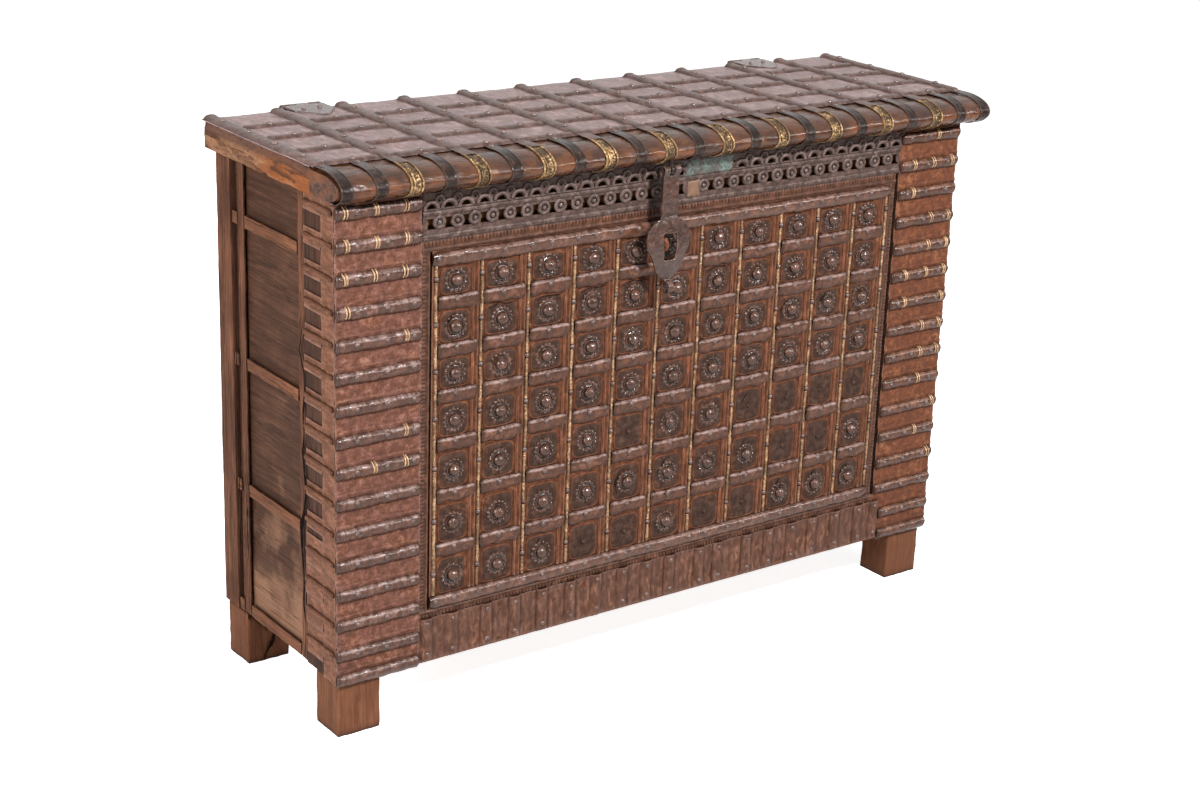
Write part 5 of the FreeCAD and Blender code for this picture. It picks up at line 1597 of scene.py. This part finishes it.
strips = [frieze_strip("stud_strip", frieze_foot + 37.5 * mm, 7 * mm, 1.2 * mm),
          frieze_strip("foot_strip", frieze_foot + 1.0 * mm, 8.5 * mm, 1.4 * mm),
          frieze_strip("arch_strip", frieze_foot + 45.2 * mm, 3.2 * mm, 1.3 * mm),
          frieze_strip("head_strip", frieze_foot + 69.0 * mm, 5 * mm, 1.0 * mm)]
relief = hammer(join("frieze_relief", rings + rims + strips), 1.1 * mm, 7 * mm, 0.6)
settle(smooth(relief, 60), frieze_iron, "carcass", "iron_dark")
dress("frieze_openwork", frieze_ground)

# %% [markdown]
# ## Mended places
# Beside the hasp two patches of thin metal close a torn stretch of the frieze.
# They have turned green and grey. Each is a beaten sheet with a ragged rim.

# %% Patches
def patch(name, low, high, seed):
    size = high - low

    def height(u, v):
        rim = min(1.0, 14 * min(u, 1 - u, v, 1 - v))
        return (size.y * rim + 1.1 * mm * rough((u * 3, v, seed), 0.7)
                + 0.5 * mm * rough((u * 9, v * 4, seed), 0.6))

    sheet = sheet_over(name, low, high, int(size.x / (1.6 * mm)), 14, height)
    for vert in sheet.data.vertices:
        ragged = 1.3 * mm * rough((vert.co.x, seed, vert.co.z), 7 * mm)
        vert.co.z += ragged * (1 if vert.co.z > middle((low, high)).z else -0.6)
    return sheet


patches = [patch("patch_" + str(i), low, high, i * 4.0) for i, (low, high) in enumerate(patch_boxes)]
settle(smooth(join("frieze_patches_green", patches), 50), patina,
       "carcass", "iron_patina", "frieze_patches")

# %% [markdown]
# ## Lid top
# The lid is covered with thin iron held by straps that cross each other. Inside
# every field the sheet has lifted into a soft cushion, which is what catches the
# light. The fields are cosines between strap lines on one wide grid.

# %% Lid sheet
long_boxes = solids_of("lid_long_straps")
cross_boxes = solids_of("lid_cross_straps")
strap_lines = [middle(box).x for box in long_boxes]
cross_lines = sorted({round(middle(box).y, 4) for box in cross_boxes}) + [lid_high.y]


def field(value, lines):
    """0 on a line and 1 halfway between two lines."""
    for a, b in zip(lines[:-1], lines[1:]):
        if a <= value <= b:
            return math.sin(math.pi * (value - a) / (b - a))
    return 0.0


def lid_relief(u, v):
    x = lid_low.x + u * (lid_high.x - lid_low.x)
    y = lid_low.y + v * (lid_high.y - lid_low.y)
    cushion = min(1.0, 1.5 * field(x, strap_lines)) * min(1.0, 1.5 * field(y, cross_lines))
    return (1.3 * mm * cushion + 0.8 * mm * rough((x, y, 0), 38 * mm)
            + 0.3 * mm * rough((x, y, 2), 9 * mm))


lid_cover = raised_sheet("lid_cover", Vector((lid_low.x, lid_low.y, lid_high.z)),
                         RIGHT * (lid_high.x - lid_low.x), BACK * (lid_high.y - lid_low.y), UP,
                         230, 64, lid_relief, lid_high.z - lid_low.z)
keep_within(lid_cover, Vector((lid_low.x, -1, 0)), Vector((lid_high.x, 1, 1)))
settle(smooth(lid_cover, 40), lid_iron, "lid", "iron_lid", "lid_sheet")

# %% [markdown]
# ## Straps
# Long straps run from front to back and short ones lie between them. Both are
# crowned bars, thin at the rims, with a hammered ridge.

# %% Crowned straps
def strap(name, box, along, seed, rear_rise=0.0):
    low, high = box
    size = high - low
    length = abs(size.dot(along))
    across = BACK if abs(along.x) > 0.5 else RIGHT
    width = abs(size.dot(across))

    def height(u, v):
        at = low + along * (length * u)
        crown = math.sqrt(max(0.0, 1 - (2 * v - 1) ** 2))
        swell = 1 + 0.10 * rough(at + across * v * width, 16 * mm) - 0.05
        lift = rear_rise * max(0.0, (u - 0.975) / 0.025)
        closed = min(1.0, 200 * u, 200 * (1 - u))
        raised = 0.3 * mm + (size.z - 0.3 * mm) * crown ** 0.8 * swell
        return (raised + 0.25 * mm * rough(at, 5 * mm, seed) + lift) * closed

    bar = raised_sheet(name, Vector((low.x, low.y, low.z)), along * length, across * width, UP,
                       max(8, int(length / (4.5 * mm))), 10, height, 0)
    for vert in bar.data.vertices:
        wander = 0.8 * mm * rough((vert.co.x, vert.co.y, seed), 50 * mm)
        vert.co += across * wander
    return bar


long_bars = [strap("long_" + str(i), box, BACK, i, 2.5 * mm) for i, box in enumerate(long_boxes)]
for bar in long_bars:
    keep_within(bar, Vector((lid_low.x, -1, 0)),
                Vector((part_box("lid_end_strap")[1].x, lid_high.y, 1)))
settle(smooth(join("lid_long_straps_forged", long_bars), 50), strap_iron, "lid", "iron_lid",
       "lid_long_straps")
cross_bars = [strap("cross_" + str(i), box, RIGHT, i + 20) for i, box in enumerate(cross_boxes)]
settle(smooth(join("lid_cross_straps_forged", cross_bars), 50), strap_iron, "lid", "iron_lid",
       "lid_cross_straps")

# %% [markdown]
# ## Nosing
# The front edge of the lid is a thick rounded beam, rubbed dark and glossy. It
# starts as a cylinder whose points are moved to the beam's section: half an
# ellipse in front and a flat back. It swells a little between the metal bands, and
# a long crack runs along it.

# %% Section of the nosing
nosing_low, nosing_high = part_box("lid_nosing")
nose_reach = 50 * mm
nose_y = nosing_low.y + nose_reach
nose_z = (nosing_low.z + nosing_high.z) / 2
nose_rise = (nosing_high.z - nosing_low.z) / 2
band_lines = sorted(middle(box).x
                    for box in solids_of("nosing_brass_bands") + solids_of("nosing_iron_bands"))


def nose_point(x, turn, growth):
    """Place on the section; turn is 0 at the front and grows upwards."""
    if abs(turn) <= math.pi / 2:
        return Vector((x, nose_y - (nose_reach + growth) * math.cos(turn),
                       nose_z + (nose_rise + growth) * math.sin(turn)))
    share = min(1.0, (abs(turn) - math.pi / 2) / (math.pi / 3))
    back = nose_y + (nosing_high.y - nose_y) * share
    over = max(0.0, (abs(turn) - math.pi * 5 / 6) / (math.pi / 6))
    level = 1 - over
    return Vector((x, back, nose_z + math.copysign((nose_rise + growth) * level, turn)))


clear_selection()
bpy.ops.mesh.primitive_cylinder_add(vertices=72, radius=1, depth=2, end_fill_type="NGON",
                                    rotation=(0, math.pi / 2, 0))
beam = bpy.context.object
beam.name = "nosing_beam"
bpy.ops.object.transform_apply(location=False, rotation=True, scale=False)
bpy.ops.object.mode_set(mode="EDIT")
mesh = bmesh.from_edit_mesh(beam.data)
for edge in mesh.edges:
    edge.select_set(abs(edge.verts[0].co.x - edge.verts[1].co.x) > 1)
bmesh.update_edit_mesh(beam.data)
bpy.ops.mesh.subdivide(number_cuts=330)
bpy.ops.object.mode_set(mode="OBJECT")
for vert in beam.data.vertices:
    x = nosing_low.x + (vert.co.x + 1) / 2 * (nosing_high.x - nosing_low.x)
    turn = math.atan2(vert.co.z, -vert.co.y)
    swell = 2.3 * mm * field(x, band_lines) ** 0.6 * max(0.0, math.cos(turn)) ** 0.5
    dents = 1.6 * mm * rough((x, math.cos(turn) * 0.04, math.sin(turn) * 0.03), 26 * mm)
    crack_turn = 0.30 + 0.16 * rough((x, 0, 0), 60 * mm) + 0.05 * rough((x, 3, 0), 9 * mm)
    crack_share = max(0.0, 0.55 + rough((x, 8, 0), 50 * mm))
    crack = 1.5 * mm * math.exp(-((turn - crack_turn) / 0.045) ** 2) * crack_share
    end = min(x - nosing_low.x, nosing_high.x - x)
    worn_end = 3.5 * mm * max(0.0, 1 - end / (5 * mm)) ** 2
    growth = swell + min(0.0, dents) - crack - worn_end - 0.9 * mm
    if abs(turn) > math.pi / 2:
        growth = min(growth, -0.3 * mm)
    vert.co = nose_point(x, turn, growth)
settle(smooth(beam, 40), nosing_wood, "lid", "wood_lid", "lid_nosing")

# %% [markdown]
# ## Bands over the nosing
# Brass and iron bands are bent over the nosing in turn. A brass band is a hammered
# strip with a wire along each side; an iron band is plain with rolled rims. Each
# band is a narrow grid laid over the nosing's section.

# %% Bands
brass_boxes = solids_of("nosing_brass_bands")
iron_boxes = solids_of("nosing_iron_bands")
band_back = brass_boxes[0][1].y
low_turn = -math.acos(14.5 / 50)
bent_share, flat_share = 0.86, 0.14


def band(name, box, columns, profile, start=0.0, end=1.0):
    """Band over the nosing from one share of its length to another; profile(u, s) is its height."""
    low, high = box
    width = high.x - low.x
    strip = unit_strip(name, columns, 60)
    for vert in strip.data.vertices:
        u, s = vert.co.x, start + (end - start) * vert.co.z
        x = low.x + u * width
        growth = profile(u, s)
        if s < bent_share:
            turn = low_turn + (math.pi / 2 - low_turn) * s / bent_share
            vert.co = nose_point(x, turn, growth)
        else:
            back = nose_y + (band_back - nose_y) * (s - bent_share) / flat_share
            vert.co = Vector((x, back, nose_z + nose_rise + growth))
        vert.co.x += 0.8 * mm * rough((low.x, 0, s), 0.45)
    skin = strip.modifiers.new("skin", "SOLIDIFY")
    skin.thickness = 0.7 * mm
    skin.offset = -1
    return keep_within(apply_all(strip), Vector((lid_low.x, -1, 0)), Vector((lid_high.x, 1, 1)))


def brass_profile(u, s):
    wires = math.exp(-((u - 0.09) / 0.055) ** 2) + math.exp(-((u - 0.91) / 0.055) ** 2)
    inner = 0.8 * (math.exp(-((u - 0.30) / 0.05) ** 2) + math.exp(-((u - 0.70) / 0.05) ** 2))
    chased = 1.3 * mm * rough((u * 3.6, s * 30, 0), 0.6) * (1 if 0.26 < u < 0.74 else 0)
    gap = 0.9 * mm * (math.exp(-((u - 0.19) / 0.035) ** 2) + math.exp(-((u - 0.81) / 0.035) ** 2))
    return 1.4 * mm + 1.7 * mm * wires + 0.9 * mm * inner + chased - gap


def iron_profile(u, s):
    rims = math.exp(-((u - 0.08) / 0.07) ** 2) + math.exp(-((u - 0.92) / 0.07) ** 2)
    return (1.4 * mm + 0.9 * mm * rims + 0.5 * mm * math.sin(math.pi * u)
            + 0.4 * mm * rough((u, s * 6, 0), 0.5))


def tongue_profile(u, s):
    """Strap end that rises from the brass to the height of the lid's strap."""
    rise = min(1.0, max(0.0, (s - 0.78) / 0.1))
    crown = math.sqrt(max(0.0, 1 - (2 * u - 1) ** 2))
    return 1.6 * mm + rise * 0.8 * mm + 1.3 * mm * crown + 0.4 * mm * rough((u, s * 9, 0), 0.5)


brass_bands = [band("brass_" + str(i), box, 26, brass_profile, 0.0, 0.85)
               for i, box in enumerate(brass_boxes)]
tongues = [band("tongue_" + str(i), box, 12, tongue_profile, 0.80, 1.0)
           for i, box in enumerate(brass_boxes)]
settle(smooth(join("strap_tongues", tongues), 50), strap_iron, "lid", "iron_lid")
settle(smooth(join("nosing_brass_bands_chased", brass_bands), 50), band_brass, "lid", "brass",
       "nosing_brass_bands")
iron_bands = [band("iron_" + str(i), box, 14, iron_profile) for i, box in enumerate(iron_boxes)]
settle(smooth(join("nosing_iron_bands_rolled", iron_bands), 50), dark_iron, "lid", "iron_dark",
       "nosing_iron_bands")

# %% [markdown]
# ## Lid's end pieces
# The left end of the lid is closed by a thick clamp of bare wood, split and
# layered by wear. On the right end lies an iron strap.

# %% Clamp and end strap
clamp_low, clamp_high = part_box("lid_end_clamp")
clamp = worn_block("lid_end_clamp_worn", clamp_low, clamp_high, 2.5 * mm, 5 * mm, 3.6 * mm,
                   26 * mm, 1.4 * mm)
for vert in clamp.data.vertices:
    if vert.co.x < clamp_low.x + 8 * mm:
        layer = 1.6 * mm * rough((0, vert.co.y * 0.35, vert.co.z * 4), 14 * mm, 2)
        vert.co.x += (max(0.0, layer)
                      + max(0.0, 1.4 * mm * rough((0, vert.co.y, vert.co.z * 2), 11 * mm, 7)))
        if vert.co.z > clamp_high.z - 9 * mm:
            vert.co.x += max(0.0, 2.0 * mm * (0.4 + rough((0, vert.co.y, 0), 13 * mm, 4)))
settle(smooth(clamp, 40), clamp_wood, "lid", "wood_lid", "lid_end_clamp")
dress("lid_end_strap", strap_iron)

# %% [markdown]
# ## Hinges, hasp, eye and staple
# These were forged from thick iron. Copies of their solids get an even skin by a
# fine voxel remesh. A light smoothing rounds every edge, and hammering leaves the
# marks of the forge. The hasp's leaf is crowned like a shield.

# %% Forged copies of the working parts
def forged(name, node, grain, rounds, dent, size=6 * mm, shape=None, swell=0.0):
    piece = copy_of(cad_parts[node])
    piece.hide_set(False)
    piece.name = name
    merge_doubles(piece)
    skin = piece.modifiers.new("skin", "REMESH")
    skin.mode = "VOXEL"
    skin.voxel_size = grain
    wear = piece.modifiers.new("wear", "SMOOTH")
    wear.iterations = rounds
    wear.factor = 0.5
    if swell:
        thicker = piece.modifiers.new("thicker", "DISPLACE")
        thicker.mid_level = 0
        thicker.strength = swell
    apply_all(piece)
    if shape:
        for vert in piece.data.vertices:
            shape(vert)
    hammer(piece, dent, size, 0.8)
    return smooth(piece, 60)


hasp_low, hasp_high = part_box("hasp")
leaf_middle = Vector(((hasp_low.x + hasp_high.x) / 2, 0, 716 * mm))
leaf_wide, leaf_tip = 713 * mm, 672 * mm
crown_foot, crown_head, crown_rise = 656 * mm, 762 * mm, 6.5 * mm
crown_half_width, crown_half_height = 42 * mm, 52 * mm


def crown_leaf(vert):
    """Push the hasp's leaf forwards into a shield, draw in its lower sides and lengthen the curl."""
    if leaf_tip < vert.co.z < leaf_wide:
        share = (leaf_wide - vert.co.z) / (leaf_wide - leaf_tip)
        vert.co.x = leaf_middle.x + (vert.co.x - leaf_middle.x) * (1 - 0.15 * math.sin(math.pi * share))
    if vert.co.z < leaf_tip - 6 * mm:
        vert.co.z -= 0.2 * (leaf_tip - 6 * mm - vert.co.z)
    if crown_foot < vert.co.z < crown_head:
        off = math.hypot((vert.co.x - leaf_middle.x) / crown_half_width,
                         (vert.co.z - leaf_middle.z) / crown_half_height)
        vert.co.y -= crown_rise * max(0.0, 1 - off * off)


settle(forged("hasp_forged", "hasp", 1.3 * mm, 4, 1.3 * mm, 8 * mm, crown_leaf), hasp_iron, "hasp",
       "iron_brown", "hasp")


def reach_out(vert):
    """Bring the staple's loop forwards into the hasp's slot."""
    vert.co.y = face_y + (vert.co.y - face_y) * 1.14


settle(forged("staple_forged", "staple", 0.8 * mm, 4, 1.0 * mm, 4 * mm, reach_out, 1.6 * mm), rail_iron,
       "carcass", "iron_dark", "staple")
settle(forged("staple_plate_forged", "staple_plate", 0.9 * mm, 4, 0.4 * mm), hasp_iron, "carcass",
       "iron_dark", "staple_plate")
settle(forged("hasp_eye_forged", "hasp_eye", 0.8 * mm, 4, 0.3 * mm), dark_iron, "lid",
       "iron_dark", "hasp_eye")
settle(forged("hasp_pin_forged", "hasp_pin", 0.6 * mm, 3, 0.2 * mm), dark_iron, "lid",
       "iron_dark", "hasp_pin")
for side in ("left", "right"):
    settle(forged("hinge_lid_leaf_forged_" + side, "hinge_lid_leaf_" + side, 1.2 * mm, 3, 0.6 * mm),
           hasp_iron, "lid", "iron_brown", "hinge_lid_leaf_" + side)
    settle(forged("hinge_body_leaf_forged_" + side, "hinge_body_leaf_" + side, 1.2 * mm, 3, 0.6 * mm),
           hasp_iron, "carcass", "iron_brown", "hinge_body_leaf_" + side)
    dress("hinge_pin_" + side, dark_iron)

# %% [markdown]
# ## Floor, background and light
# The chest stands in a white studio. The floor is plain and pale and keeps the
# soft shadow. The world looks white to the camera and in reflections, but gives
# less light than that, so that the lamps can model the relief. A small strong
# lamp above the front throws the hasp's shadow, and a soft one lights the left end.
# Another soft one behind shows the rear and brightens the lid, but leaves no glare
# on it. A long thin lamp to the right is seen only in shiny surfaces: it draws the
# line of light on the nosing and the ribs.

# %% Floor and world
floor_glow = 0.88
world_light = 0.11
clear_selection()
bpy.ops.mesh.primitive_plane_add(size=60, location=(0, 0, 0))
floor = bpy.context.object
floor.name = "floor"
floor_white = bpy.data.materials.new("floor_white")
floor_white.use_nodes = True
tree = floor_white.node_tree
shader = tree.nodes["Principled BSDF"]
shader.inputs["Base Color"].default_value = (0.92, 0.92, 0.92, 1)
shader.inputs["Roughness"].default_value = 1.0
shader.inputs["Specular IOR Level"].default_value = 0.0
shader.inputs["Emission Color"].default_value = (1, 1, 1, 1)
seen = tree.nodes.new("ShaderNodeLightPath")
lift = tree.nodes.new("ShaderNodeMath")
lift.operation = "MULTIPLY"
lift.inputs[1].default_value = floor_glow
tree.links.new(seen.outputs["Is Camera Ray"], lift.inputs[0])
tree.links.new(lift.outputs[0], shader.inputs["Emission Strength"])
floor.data.materials.append(floor_white)

studio = bpy.data.worlds.new("studio")
bpy.context.scene.world = studio
studio.use_nodes = True
tree = studio.node_tree
background = tree.nodes["Background"]
background.inputs["Color"].default_value = (1, 1, 1, 1)
seen = tree.nodes.new("ShaderNodeLightPath")
mirrored = tree.nodes.new("ShaderNodeMath")
mirrored.operation = "MAXIMUM"
through = tree.nodes.new("ShaderNodeMath")
through.operation = "MAXIMUM"
strength = tree.nodes.new("ShaderNodeMapRange")
strength.inputs["To Min"].default_value = world_light
strength.inputs["To Max"].default_value = 1.0
tree.links.new(seen.outputs["Is Camera Ray"], mirrored.inputs[0])
tree.links.new(seen.outputs["Is Glossy Ray"], mirrored.inputs[1])
tree.links.new(mirrored.outputs[0], through.inputs[0])
tree.links.new(seen.outputs["Is Transmission Ray"], through.inputs[1])
tree.links.new(through.outputs[0], strength.inputs["Value"])
tree.links.new(strength.outputs["Result"], background.inputs["Strength"])


# %% Lamps
def lamp(name, place, aim, size, power):
    light = bpy.data.lights.new(name, "AREA")
    light.shape = "RECTANGLE"
    light.size, light.size_y = size
    light.energy = power
    thing = bpy.data.objects.new(name, light)
    bpy.context.collection.objects.link(thing)
    thing.location = place
    thing.rotation_euler = (Vector(aim) - Vector(place)).to_track_quat("-Z", "Y").to_euler()
    return thing


lamp("key_lamp", (0.25, -3.2, 3.3), (-0.1, -0.15, 0.5), (0.25, 0.25), 255)
strip_light = lamp("strip_lamp", (3.0, -4.0, 2.5), (0.0, -0.15, 0.6), (3.2, 0.14), 120)
strip_light.visible_diffuse = False
lamp("end_softbox", (-3.0, -0.4, 1.5), (-0.6, 0.0, 0.4), (1.2, 1.4), 82)
rear_light = lamp("rear_softbox", (0.9, 3.2, 2.4), (0.1, 0.2, 0.6), (1.6, 1.2), 75)
rear_light.visible_glossy = False

# %% [markdown]
# ## Camera
# The camera stands to the left of the front and looks down a little, as the
# photographer did. Its place, turn and lens were fitted so that the corners of
# the solids fall where the photograph shows them.

# %% Camera
camera_place = Vector((-2.0664, -2.7929, 1.6167))
yaw, pitch, roll = 0.6649, -0.3396, 0.0477
forward = Vector((math.sin(yaw) * math.cos(pitch), math.cos(yaw) * math.cos(pitch), math.sin(pitch)))
level = Vector((math.cos(yaw), -math.sin(yaw), 0))
upward = level.cross(forward)
side = level * math.cos(roll) + upward * math.sin(roll)
top = upward * math.cos(roll) - level * math.sin(roll)
camera_data = bpy.data.cameras.new("camera")
camera = bpy.data.objects.new("camera", camera_data)
bpy.context.collection.objects.link(camera)
camera.matrix_world = Matrix((
    (side.x, top.x, -forward.x, camera_place.x),
    (side.y, top.y, -forward.y, camera_place.y),
    (side.z, top.z, -forward.z, camera_place.z),
    (0, 0, 0, 1)))
camera_data.sensor_width = 36
camera_data.lens = 65.2
camera_data.shift_x = -0.0517
camera_data.shift_y = 0.0017
bpy.context.scene.camera = camera
bpy.context.scene.view_settings.view_transform = "Standard"

# %% [markdown]
# ## The last lines
# The blank nail head, from which every nail was copied, is removed.

# %% Removing the blank nail head
discard(nail_head)
